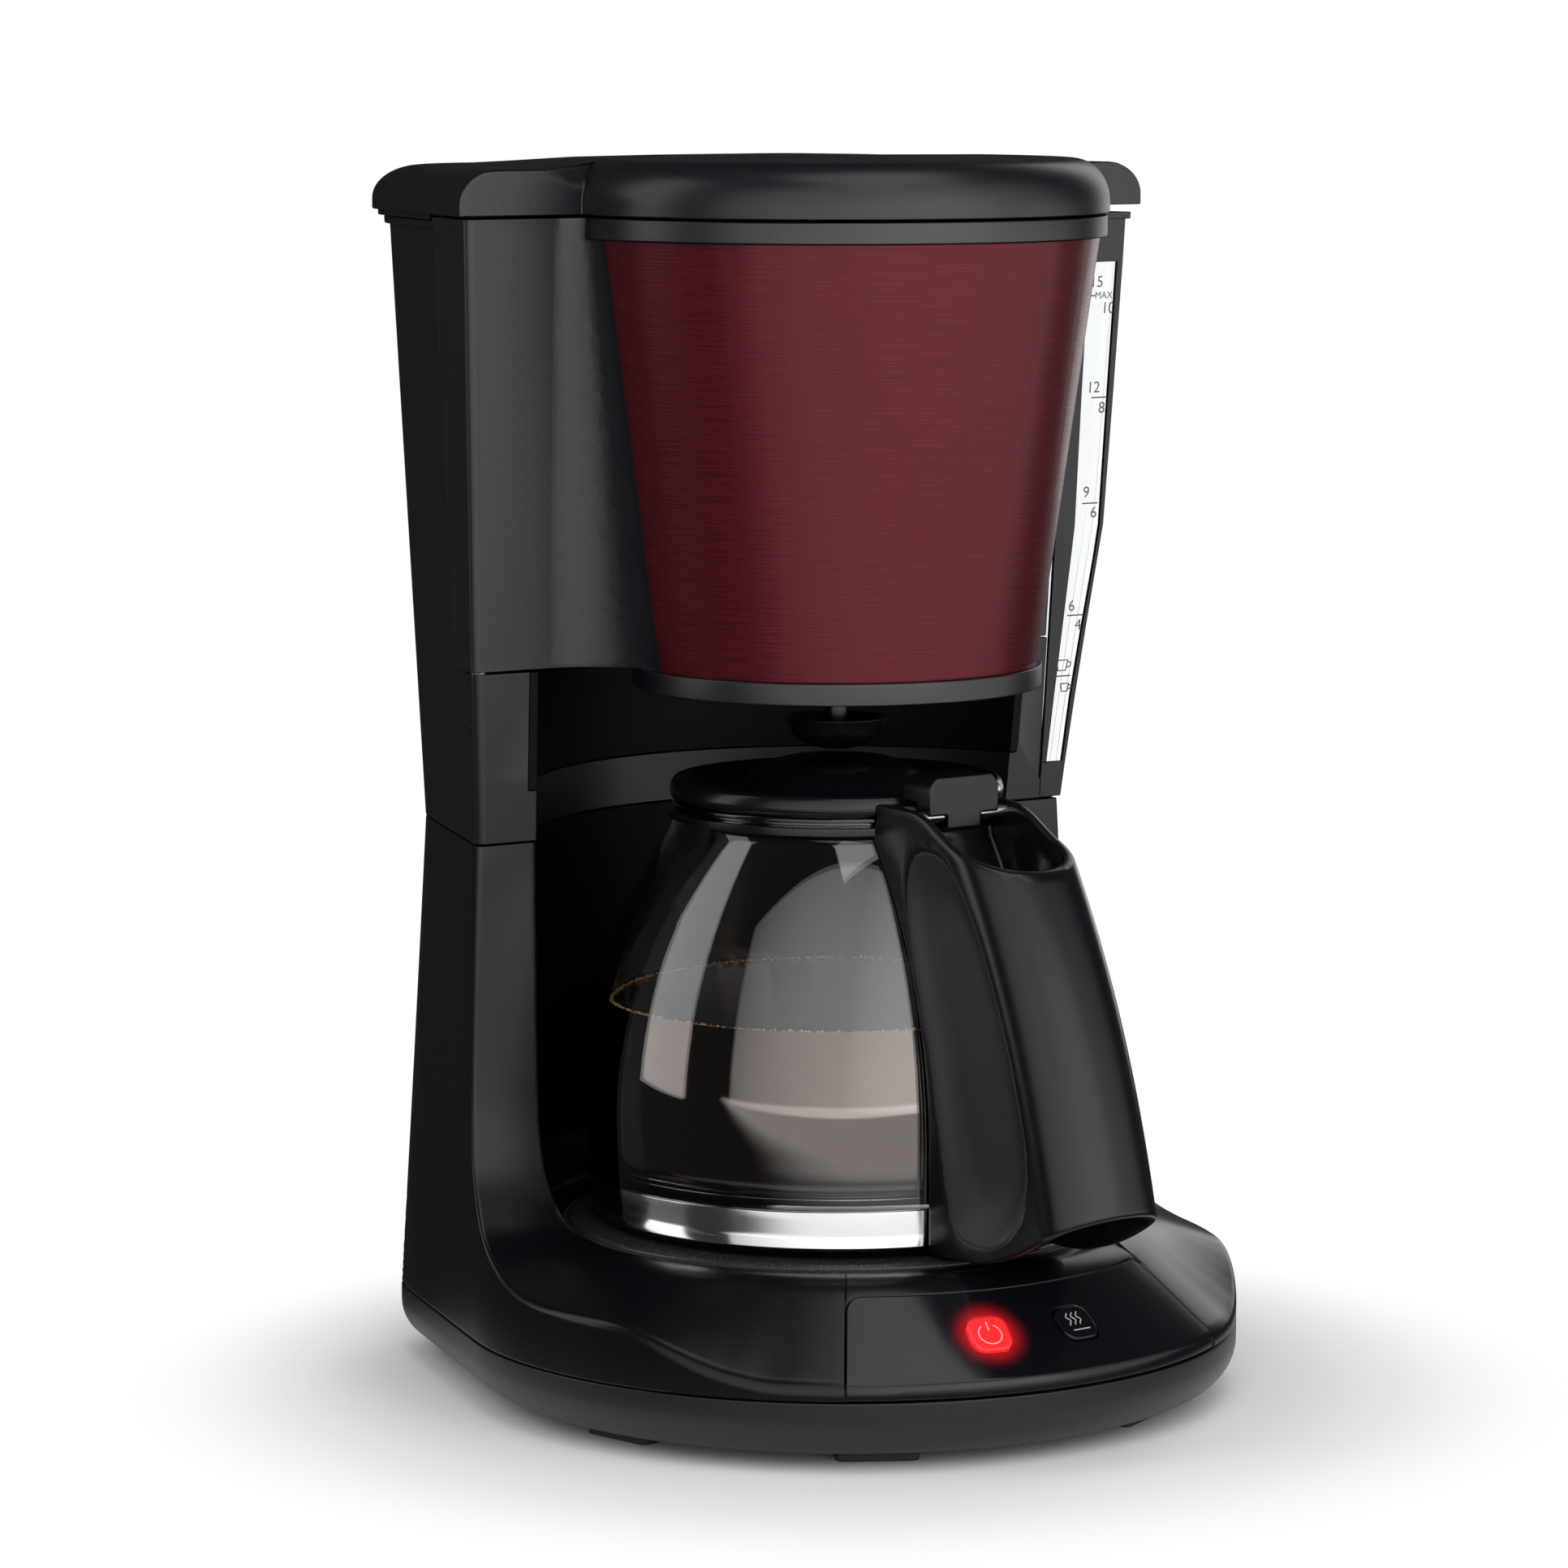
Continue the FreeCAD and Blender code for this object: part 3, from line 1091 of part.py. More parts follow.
def make_handle():
    """Hollow jug handle, its grip pads, neck band, thumb lever and screw."""
    turn = float(size.handle_turn)
    wall = float(size.handle_wall)
    form = handle_form(0.0)
    hollow = handle_form(wall)
    hollow = hollow.cut(glass_space(7.0))
    cover_clear = 46.4
    shell = form.cut(hollow).cut(glass_space(0.25)).cut(rod(cover_clear, 160.5, 200.0))
    ends = []
    for points in (HANDLE_UNDER, HANDLE_OVER):
        outline = [Vector(-40.0, y, z) for y, z in points]
        ends.append(Part.Face(Part.makePolygon(outline + outline[:1])).extrude(Vector(80, 0, 0)))
    for end in ends:
        shell = shell.cut(end)
    half = float(size.handle_half)
    edge = Part.BSplineCurve()
    edge.interpolate([Vector(0, y, z) for y, z in GRIP_PAD], True)
    outline = Part.Face(Part.Wire(edge.toShape()))
    deep = 1.5
    pads = {}
    for label, side in (("grip_pad_left", -1), ("grip_pad_right", 1)):
        start = outline.copy()
        start.translate(Vector(side * (half - deep), 0, 0))
        pad = start.extrude(Vector(side * 6.0, 0, 0)).common(form)
        shell = shell.cut(pad)
        pads[label] = pad
    hinge_y, hinge_z, hinge_r = -float(size.cover_hinge), float(size.cover_axis), float(size.cover_pin)
    shell = shell.cut(cross_rod(hinge_r, -half - 1, half + 1, hinge_y, hinge_z))
    band_in, band_out = float(size.jug_neck) + 0.2, float(size.jug_neck) + 1.8
    band_low, band_top = 158.2, 160.4
    shell = shell.cut(pipe_ring(band_out + 0.1, band_in - 1.0, band_low - 0.1, band_top + 0.1))
    ahead = Vector(0, -1, 0)
    screw_at = Vector(0, -band_out, (band_low + band_top) / 2)
    head_at = screw_at + ahead * 3.4
    shell = shell.cut(Part.makeCylinder(1.3, 12.0, screw_at, ahead))
    screw = Part.makeCylinder(1.2, 4.0, screw_at, ahead)
    screw = screw.fuse(Part.makeCylinder(2.6, 1.8, head_at, ahead))
    shell = shell.cut(Part.makeCylinder(2.8, 4.0, head_at - ahead * 0.1, ahead))
    shaped("neck_band", pipe_ring(band_out, band_in, band_low, band_top), turn)
    shaped("handle_screw", screw, turn)
    shaped("cover_pin", cross_rod(hinge_r, -half + 0.4, half - 0.4, hinge_y, hinge_z), turn)
    lever_half, lever_front, lever_top, lever_low = 11.5, -58.4, 175.0, 164.7
    lever = block((-lever_half, lever_half), (lever_front, -46.1), (167.9, lever_top))
    lever = lever.makeFillet(4.0, [edge for edge in lever.Edges if edge.BoundBox.YLength > 10.0 and
                                   edge.BoundBox.ZMin > lever_top - 0.1])
    apron = block((-lever_half, lever_half), (lever_front, -52.3), (lever_low, 168.2))
    tab = block((-5.6, 5.6), (hinge_y - 2.4, hinge_y + 3.4), (hinge_z - 3.4, 168.2))
    lever = lever.fuse(apron).fuse(tab).cut(cross_rod(hinge_r + 0.05, -20, 20, hinge_y, hinge_z))
    rivet_r, rivet_y, rivet_z = 1.9, -54.6, 170.2
    lever = lever.cut(cross_rod(rivet_r, -4.0, 20, rivet_y, rivet_z))
    shaped("thumb_lever", lever.removeSplitter(), turn)
    shaped("lever_rivet", cross_rod(rivet_r, -4.0, 13.6, rivet_y, rivet_z), turn)
    shaped("jug_handle", shell.removeSplitter(), turn)
    for label, pad in pads.items():
        shaped(label, pad, turn)


make_base()
make_lower_body()
make_panel()
make_heater()
make_waterway()
make_rear_housing()
make_tank()
make_holder()
make_lid()
make_jug()
make_handle()
doc.recompute()

for obj in doc.Objects:
    if "Invalid" in obj.State or "Error" in obj.State:
        raise RuntimeError(f"{obj.Label} failed: {obj.State}")
for label, obj in nodes.items():
    if obj.Shape.isNull() or not obj.Shape.isValid():
        raise RuntimeError(f"{label} has no valid shape")

os.makedirs("parts", exist_ok=True)
for label, obj in nodes.items():
    obj.Shape.exportStep(f"parts/{label}.step")
    box = obj.Shape.BoundBox
    print(f"{label:18s} {len(obj.Shape.Solids)} solids {obj.Shape.Volume / 1000:8.2f} cm3  "
          f"z {box.ZMin:.1f} {box.ZMax:.1f}")
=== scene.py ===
"""Looks of a drip coffee maker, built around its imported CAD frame."""
import logging
import math
from dataclasses import dataclass
from enum import Enum
from typing import Sequence

import bmesh
import bpy
import numpy as np
from mathutils import Matrix, Vector


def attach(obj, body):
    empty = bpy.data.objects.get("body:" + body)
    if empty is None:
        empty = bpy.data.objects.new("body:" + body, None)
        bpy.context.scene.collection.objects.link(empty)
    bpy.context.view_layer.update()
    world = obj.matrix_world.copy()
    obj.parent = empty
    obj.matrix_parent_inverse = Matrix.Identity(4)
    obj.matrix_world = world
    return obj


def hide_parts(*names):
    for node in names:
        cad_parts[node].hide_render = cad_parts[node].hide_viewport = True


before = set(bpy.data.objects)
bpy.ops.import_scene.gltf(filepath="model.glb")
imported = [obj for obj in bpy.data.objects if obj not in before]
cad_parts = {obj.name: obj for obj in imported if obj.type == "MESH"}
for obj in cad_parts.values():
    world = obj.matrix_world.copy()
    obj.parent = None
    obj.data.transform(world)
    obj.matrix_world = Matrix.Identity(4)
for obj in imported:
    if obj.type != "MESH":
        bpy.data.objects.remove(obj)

LOG = logging.getLogger("coffee_maker")
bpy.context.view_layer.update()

MM = 0.001
AXIS_Y = 5.405      # the jug's axis in the frame, mm along Y
BASE_Y = -6.0       # the base's round front has its centre this far from the jug's axis
BASE_SEAM = 19.5    # height of the base pan's upper edge
DECK_TOP = 46.5     # height of the deck's flat ring round the warming plate
DECK_FLAT = 80.0    # how far that ring reaches from the base's centre
WAIST = 153.0       # height of the seam between the column and the tower
TOWER_TOP = 321.5
WELD = 0.004        # points closer than this are one, mm
NEAR = 1e-6         # places closer than this are the same


class Body(str, Enum):
    """The moving bodies of the frame."""

    HOUSING = "housing"
    POWER = "power_button"
    KEEP_WARM = "keep_warm_button"
    HOLDER = "filter_holder"
    DRIP_STOP = "drip_stop"
    LID = "top_lid"
    JUG = "jug"
    COVER = "jug_cover"


class Pattern(str, Enum):
    """The ways in which a surface varies."""

    MOULDED = "moulded_grain"
    BRUSHED = "brushed_rings"
    POLISHED = "polished_smears"
    SPECKLED = "speckled_coat"


class Nodes:
    """Adds nodes to one tree and joins them."""

    def __init__(self, tree: bpy.types.NodeTree) -> None:
        """Keep the tree that is written to."""
        self.tree = tree

    def add(self, kind: str, inputs: dict | None = None, **settings: object) -> bpy.types.Node:
        """Add a node.

        Args:
            kind: Blender's name of the node type.
            inputs: Values, or sockets to join from, by input name or number.
            settings: Properties of the node itself.

        Returns:
            The new node.
        """
        node = self.tree.nodes.new(kind)
        for key, value in settings.items():
            setattr(node, key, value)
        for key, value in (inputs or {}).items():
            if isinstance(value, bpy.types.NodeSocket):
                self.tree.links.new(value, node.inputs[key])
            else:
                node.inputs[key].default_value = value
        return node

    def maths(self, operation: str, *values: object) -> bpy.types.NodeSocket:
        """Add one sum on numbers or sockets and return its result."""
        return self.add("ShaderNodeMath", dict(enumerate(values)), operation=operation).outputs[0]

    def noise(self, place: bpy.types.NodeSocket, scale: object, detail: float) -> bpy.types.NodeSocket:
        """Add a soft noise over a place and return its value."""
        inputs = {"Vector": place, "Scale": scale, "Detail": detail}
        return self.add("ShaderNodeTexNoise", inputs).outputs[0]


def new_tree(name: str, kind: str, inputs: dict[str, str],
             outputs: dict[str, str]) -> tuple[Nodes, dict, bpy.types.Node]:
    """Make a node group with named sockets.

    Args:
        name: The group's name.
        kind: Blender's name of the tree type.
        inputs: Socket types by name.
        outputs: Socket types by name.

    Returns:
        The tree's nodes, its input sockets by name, and the node that takes its results.
    """
    tree = bpy.data.node_groups.new(name, kind)
    for label, socket in inputs.items():
        tree.interface.new_socket(label, in_out="INPUT", socket_type=socket)
    for label, socket in outputs.items():
        tree.interface.new_socket(label, in_out="OUTPUT", socket_type=socket)
    nodes = Nodes(tree)
    source = nodes.add("NodeGroupInput")
    sink = nodes.add("NodeGroupOutput")
    return nodes, {label: source.outputs[label] for label in inputs}, sink


class SurfaceGroups:
    """The shader groups that vary a surface's colour, roughness and height."""

    INPUTS = {"Colour": "NodeSocketColor", "Grain": "NodeSocketFloat", "Tone": "NodeSocketFloat",
              "Rough": "NodeSocketFloat", "Spread": "NodeSocketFloat"}
    OUTPUTS = {"Colour": "NodeSocketColor", "Roughness": "NodeSocketFloat", "Height": "NodeSocketFloat"}
    BROAD = 17.0       # soft patches, per metre
    BROAD_DETAIL = 3.0
    FINE_DETAIL = 2.0
    BRUSHED_DETAIL = 4.0
    SPECK = 0.26       # reach of a speck in its cell
    STRETCH = 0.0016   # how far a brushed line runs, metres of pattern per radian

    @classmethod
    def get(cls, pattern: Pattern) -> bpy.types.NodeTree:
        """The group of one pattern, made on first use."""
        found = bpy.data.node_groups.get(pattern.value)
        return found or cls.make(pattern)

    @classmethod
    def make(cls, pattern: Pattern) -> bpy.types.NodeTree:
        """Build the group of one pattern.

        Args:
            pattern: The way in which the surface varies.

        Returns:
            The new group.
        """
        nodes, given, sink = new_tree(pattern.value, "ShaderNodeTree", cls.INPUTS, cls.OUTPUTS)
        place = nodes.add("ShaderNodeTexCoord").outputs["Object"]
        broad = nodes.noise(place, cls.BROAD, cls.BROAD_DETAIL)
        if pattern is Pattern.BRUSHED:
            fine = nodes.noise(cls.round_place(nodes, place), given["Grain"], cls.BRUSHED_DETAIL)
            tint = fine
        elif pattern is Pattern.SPECKLED:
            cells = nodes.add("ShaderNodeTexVoronoi", {"Vector": place, "Scale": given["Grain"]})
            fine = nodes.maths("LESS_THAN", cells.outputs["Distance"], cls.SPECK)
            tint = fine
        else:
            fine = nodes.noise(place, given["Grain"], cls.FINE_DETAIL)
            tint = broad
        value = nodes.maths("MULTIPLY_ADD", cls.swing(nodes, tint), given["Tone"], 1.0)
        shaded = nodes.add("ShaderNodeHueSaturation", {"Color": given["Colour"], "Value": value})
        patch = broad if pattern is Pattern.POLISHED else fine
        rough = nodes.maths("MULTIPLY_ADD", cls.swing(nodes, patch), given["Spread"], given["Rough"])
        for label, result in (("Colour", shaded.outputs[0]), ("Roughness", rough), ("Height", fine)):
            nodes.tree.links.new(result, sink.inputs[label])
        return nodes.tree

    @staticmethod
    def swing(nodes: Nodes, value: bpy.types.NodeSocket) -> bpy.types.NodeSocket:
        """Stretch a value between 0 and 1 to swing between -1 and 1."""
        return nodes.maths("MULTIPLY", nodes.maths("SUBTRACT", value, 0.5), 2.0)

    @classmethod
    def round_place(cls, nodes: Nodes, place: bpy.types.NodeSocket) -> bpy.types.NodeSocket:
        """Wrap a place round the jug's axis, so that lines run level about it.

        Args:
            nodes: The nodes to add to.
            place: The place in the frame.

        Returns:
            The wrapped place.
        """
        split = nodes.add("ShaderNodeSeparateXYZ", {0: place}).outputs
        depth = nodes.maths("SUBTRACT", split["Y"], AXIS_Y * MM)
        turn = nodes.maths("ARCTAN2", split["X"], depth)
        along = nodes.maths("MULTIPLY", turn, cls.STRETCH)
        return nodes.add("ShaderNodeCombineXYZ", {"X": along, "Z": split["Z"]}).outputs[0]


@dataclass(frozen=True)
class Finish:
    """One finish: what a surface is made of and how it varies."""

    name: str
    slot: str
    colour: tuple[float, float, float]
    pattern: Pattern = Pattern.MOULDED
    grain: float = 1400.0
    tone: float = 0.12
    rough: float = 0.4
    spread: float = 0.06
    bump: float = 0.10
    metal: float = 0.0
    coat: float = 0.0
    clear: float = 0.0
    ior: float = 1.5
    shine: float = 0.5
    glow: float = 0.0

    RELIEF = 0.2          # depth of the pattern, mm
    COAT_ROUGH = 0.04

    def material(self) -> bpy.types.Material:
        """The finish as a material, made on first use."""
        found = bpy.data.materials.get(self.name)
        return found or self.make()

    def make(self) -> bpy.types.Material:
        """Build the material's nodes.

        Returns:
            The new material.
        """
        made = bpy.data.materials.new(self.name)
        made.use_nodes = True
        nodes = Nodes(made.node_tree)
        shader = made.node_tree.nodes["Principled BSDF"]
        effect = nodes.add("ShaderNodeGroup", node_tree=SurfaceGroups.get(self.pattern))
        values = {"Colour": (*self.colour, 1.0), "Grain": self.grain, "Tone": self.tone,
                  "Rough": self.rough, "Spread": self.spread}
        for label, value in values.items():
            effect.inputs[label].default_value = value
        link = made.node_tree.links.new
        link(effect.outputs["Colour"], shader.inputs["Base Color"])
        link(effect.outputs["Roughness"], shader.inputs["Roughness"])
        if self.bump:
            relief = {"Height": effect.outputs["Height"], "Strength": self.bump, "Distance": self.RELIEF * MM}
            link(nodes.add("ShaderNodeBump", relief).outputs[0], shader.inputs["Normal"])
        fixed = {"Metallic": self.metal, "Coat Weight": self.coat, "Coat Roughness": self.COAT_ROUGH,
                 "Transmission Weight": self.clear, "IOR": self.ior, "Specular IOR Level": self.shine}
        for label, value in fixed.items():
            shader.inputs[label].default_value = value
        self.light(nodes, shader, effect)
        return made

    def light(self, nodes: Nodes, shader: bpy.types.Node, effect: bpy.types.Node) -> None:
        """Let the surface shine in its own colour where the finish glows.

        Args:
            nodes: The material's nodes.
            shader: Its surface shader.
            effect: Its pattern group.
        """
        if self.glow:
            nodes.tree.links.new(effect.outputs["Colour"], shader.inputs["Emission Color"])
            shader.inputs["Emission Strength"].default_value = self.glow


@dataclass(frozen=True)
class HaloFinish(Finish):
    """Polished plastic with a red halo where light leaks round a lit button."""

    centre: tuple[float, float, float] = (0.0, 0.0, 0.0)
    inner: float = 5.2
    outer: float = 13.5
    halo: tuple[float, float, float] = (0.55, 0.008, 0.011)
    falloff: float = 2.2
    strength: float = 0.8

    MIX_FROM, MIX_TO, MIX_RESULT = 6, 7, 2    # the colour sockets of a Mix node

    def light(self, nodes: Nodes, shader: bpy.types.Node, effect: bpy.types.Node) -> None:
        """Fade red light away from the halo's centre.

        Args:
            nodes: The material's nodes.
            shader: Its surface shader.
            effect: Its pattern group, not used by the halo.
        """
        place = nodes.add("ShaderNodeTexCoord").outputs["Object"]
        spot = tuple(to_frame(np.array([self.centre]))[0])
        away = nodes.add("ShaderNodeVectorMath", {0: place, 1: spot}, operation="DISTANCE").outputs["Value"]
        span = {"Value": away, "From Min": self.inner * MM, "From Max": self.outer * MM,
                "To Min": 1.0, "To Max": 0.0}
        share = nodes.add("ShaderNodeMapRange", span, interpolation_type="SMOOTHSTEP").outputs[0]
        strong = nodes.maths("POWER", share, self.falloff)
        mixed = nodes.add("ShaderNodeMix", {"Factor": strong}, data_type="RGBA")
        mixed.inputs[self.MIX_FROM].default_value = (0.0, 0.0, 0.0, 1.0)
        mixed.inputs[self.MIX_TO].default_value = (*self.halo, 1.0)
        nodes.tree.links.new(mixed.outputs[self.MIX_RESULT], shader.inputs["Emission Color"])
        shader.inputs["Emission Strength"].default_value = self.strength


class Finishes:
    """Every finish of the machine."""

    SATIN = Finish("satin_black_plastic", "satin_black", (0.0046, 0.0049, 0.0078), rough=0.35, bump=0.12,
                   shine=0.56)
    # painted light: a lighter, shinier copy of the satin black, so that the front-facing filter holder looks
    # more lit
    SHOULDER_PAINTED_LIT = Finish("satin_black_plastic_painted_lit", "satin_black", (0.0052, 0.0055, 0.0086), rough=0.37,
                      bump=0.13, shine=0.7)
    # painted shade: a darker, duller black that stands in for the shade deep in the niche behind the jug
    NICHE_PAINTED_SHADE = Finish("painted_shade_black_plastic", "satin_black", (0.002, 0.002, 0.0024), rough=0.5, bump=0.1,
                   shine=0.12)
    GLOSS = Finish("polished_black_plastic", "gloss_black", (0.0036, 0.0037, 0.0056), Pattern.POLISHED,
                   grain=420.0, rough=0.23, spread=0.04, bump=0.012, shine=0.45)
    DECK = Finish("polished_black_deck", "satin_black", (0.0028, 0.0029, 0.0042), Pattern.POLISHED,
                  grain=420.0, rough=0.24, spread=0.04, bump=0.02, shine=0.36)
    RED = Finish("wine_red_brushed_metal", "red_metal", (0.1, 0.0065, 0.0125), Pattern.BRUSHED, grain=2600.0,
                 tone=0.5, rough=0.34, spread=0.12, bump=0.25, metal=0.6, coat=0.06)
    TANK = Finish("clear_tank_plastic", "clear_plastic", (0.97, 0.98, 0.985), Pattern.POLISHED, grain=300.0,
                  tone=0.01, rough=0.02, spread=0.015, bump=0.01, clear=1.0, ior=1.16)
    GLASS = Finish("clear_jug_glass", "clear_glass", (0.985, 0.99, 0.99), Pattern.POLISHED, grain=60.0,
                   tone=0.008, rough=0.004, spread=0.003, bump=0.006, clear=1.0, ior=1.68)
    LIT = Finish("lit_red_plastic", "lit_red", (0.95, 0.016, 0.018), Pattern.POLISHED, grain=500.0, tone=0.18,
                 rough=0.25, bump=0.02, glow=1.0)
    GRIP = Finish("soft_touch_grip", "soft_grip", (0.014, 0.014, 0.0145), grain=3200.0, rough=0.48, bump=0.3,
                  shine=0.5)
    RUBBER = Finish("foot_rubber", "rubber", (0.018, 0.018, 0.019), grain=1800.0, rough=0.75, bump=0.4)
    SILICONE = Finish("white_silicone", "silicone", (0.55, 0.55, 0.54), grain=700.0, rough=0.5, bump=0.1)
    SEAL = Finish("black_plate_seal", "silicone", (0.02, 0.02, 0.02), grain=900.0, rough=0.55, bump=0.15)
    ALUMINIUM = Finish("drawn_aluminium", "aluminium", (0.72, 0.72, 0.73), Pattern.BRUSHED, rough=0.32,
                       metal=1.0)
    STEEL = Finish("plated_steel", "steel", (0.62, 0.62, 0.64), Pattern.BRUSHED, rough=0.24, metal=1.0)
    PLATE = Finish("coated_warming_plate", "plate_coat", (0.03, 0.03, 0.033), Pattern.SPECKLED, grain=900.0,
                   tone=0.35, rough=0.32, spread=0.05, bump=0.05)
    BOARD = Finish("green_circuit_board", "board_green", (0.03, 0.17, 0.075), Pattern.SPECKLED, grain=500.0,
                   rough=0.35)
    BASKET = Finish("basket_black_plastic", "basket_black", (0.028, 0.028, 0.03), grain=1100.0, rough=0.48,
                    bump=0.2)
    COFFEE = Finish("brewed_coffee", "gloss_black", (0.085, 0.055, 0.04), Pattern.POLISHED, grain=30.0,
                    tone=0.12, rough=0.05, spread=0.02, bump=0.01, metal=1.0)
    # painted reflection: a mirror ring hidden in the glass foot, standing in for the bright band reflected
    # there
    GLEAM = Finish("mirrored_glass_foot", "clear_glass", (0.9, 0.91, 0.91), Pattern.POLISHED, grain=40.0,
                   tone=0.1, rough=0.08, spread=0.04, bump=0.0, metal=1.0)
    FOAM = Finish("coffee_foam", "silicone", (0.52, 0.28, 0.09), grain=900.0, tone=0.5, rough=0.3, bump=0.3)
    PRINT = Finish("grey_scale_print", "satin_black", (0.10, 0.10, 0.11), grain=2600.0, tone=0.2, rough=0.6,
                   bump=0.1)
    ICON_PALE = Finish("pale_icon_print", "satin_black", (0.42, 0.42, 0.43), grain=2600.0, tone=0.15,
                       rough=0.5, bump=0.1)
    ICON_LIT = Finish("lit_icon_print", "lit_red", (1.0, 0.22, 0.2), grain=2600.0, tone=0.1, rough=0.4,
                      bump=0.1, glow=0.75)


def to_frame(points: np.ndarray) -> np.ndarray:
    """Turn millimetres about the jug's axis into metres of the frame."""
    return (np.asarray(points, float) + (0.0, AXIS_Y, 0.0)) * MM


def mix(low: object, high: object, share: object) -> object:
    """A value between two, by share."""
    return low + (high - low) * share


def smoothstep(low: float, high: float, value: object) -> object:
    """A soft step from 0 at low to 1 at high."""
    share = np.clip((value - low) / (high - low), 0.0, 1.0)
    return share * share * (3.0 - 2.0 * share)


def flowing(table: Sequence[Sequence[float]], at: np.ndarray) -> np.ndarray:
    """Smooth values through the rows of a table, without overshoot.

    Args:
        table: Rows of values, at places 0, 1, 2 and so on.
        at: The places to read.

    Returns:
        One row of values for each place.
    """
    rows = np.asarray(table, float)
    step = np.diff(rows, axis=0)
    slope = np.zeros_like(rows)
    slope[0], slope[-1] = step[0], step[-1]
    before, after = step[:-1], step[1:]
    total = np.where(np.abs(before + after) < 1e-9, 1.0, before + after)
    slope[1:-1] = np.where(before * after > 0.0, 2.0 * before * after / total, 0.0)
    low = np.clip(np.floor(at + 1e-9).astype(int), 0, len(rows) - 2)
    t = (at - low)[:, None]
    rise = t * t * (3.0 - 2.0 * t)
    lead = t * (1.0 - t) ** 2 * slope[low] - t * t * (1.0 - t) * slope[low + 1]
    return mix(rows[low], rows[low + 1], rise) + lead


def polar(radius: object, degrees: object, height: object, centre_y: float = 0.0) -> np.ndarray:
    """Points by distance from an upright axis, angle and height.

    Args:
        radius: Distances from the axis.
        degrees: Angles from the front towards the right.
        height: Heights.
        centre_y: Depth of the axis.

    Returns:
        The points, in the shape that the values share.
    """
    turn = np.radians(degrees)
    parts = np.broadcast_arrays(radius * np.sin(turn), centre_y - radius * np.cos(turn), height)
    return np.stack(parts, axis=-1).astype(float)


def curve3(start: np.ndarray, bend: np.ndarray, end: np.ndarray, count: int) -> np.ndarray:
    """Points strictly inside a soft corner between two points."""
    t = np.linspace(0.0, 1.0, count + 2)[1:-1, None]
    return start * (1 - t) ** 2 + bend * 2 * t * (1 - t) + end * t * t


class Shape:
    """A mesh gathered from grids and flat faces, in millimetres about the jug's axis."""

    JOIN = 0.012      # seams closer than this are closed, mm

    def __init__(self) -> None:
        """Start with nothing."""
        self.points: list[np.ndarray] = []
        self.faces: list[list[int]] = []
        self.count = 0

    def keep(self, points: np.ndarray) -> int:
        """Store points.

        Args:
            points: The points, in any grid.

        Returns:
            The number of the first.
        """
        first = self.count
        self.points.append(points.reshape(-1, 3))
        self.count += len(self.points[-1])
        return first

    def grid(self, rows: np.ndarray, closed: bool = False) -> None:
        """Add a sheet of quads.

        Args:
            rows: Points in rows and columns.
            closed: Whether each row runs back to its start.
        """
        high, wide = rows.shape[:2]
        first = self.keep(rows)
        for row in range(high - 1):
            for column in range(wide if closed else wide - 1):
                a = first + row * wide + column
                b = first + row * wide + (column + 1) % wide
                self.faces.append([a, b, b + wide, a + wide])

    def face(self, loop: np.ndarray) -> None:
        """Add one flat face round a loop of points."""
        first = self.keep(loop)
        self.faces.append(list(range(first, first + len(loop))))

    def lathe(self, profile: np.ndarray, sides: int = 128) -> None:
        """Turn a profile about the jug's axis.

        Args:
            profile: Radii and heights.
            sides: How many steps make the round.
        """
        turns = np.linspace(0.0, 360.0, sides, endpoint=False)
        profile = np.asarray(profile, float)
        self.grid(polar(profile[:, :1], turns[None, :], profile[:, 1:]), closed=True)

    def mesh(self, name: str) -> bpy.types.Mesh:
        """Turn the gathered shape into a mesh of the frame, welded and facing outwards.

        Args:
            name: The mesh's name.

        Returns:
            The new mesh.
        """
        made = bpy.data.meshes.new(name)
        made.from_pydata(to_frame(np.concatenate(self.points)).tolist(), [], self.faces)
        work = bmesh.new()
        work.from_mesh(made)
        bmesh.ops.remove_doubles(work, verts=work.verts, dist=self.JOIN * MM)
        bmesh.ops.dissolve_degenerate(work, edges=work.edges, dist=WELD * MM)
        bmesh.ops.recalc_face_normals(work, faces=work.faces)
        work.to_mesh(made)
        work.free()
        return made


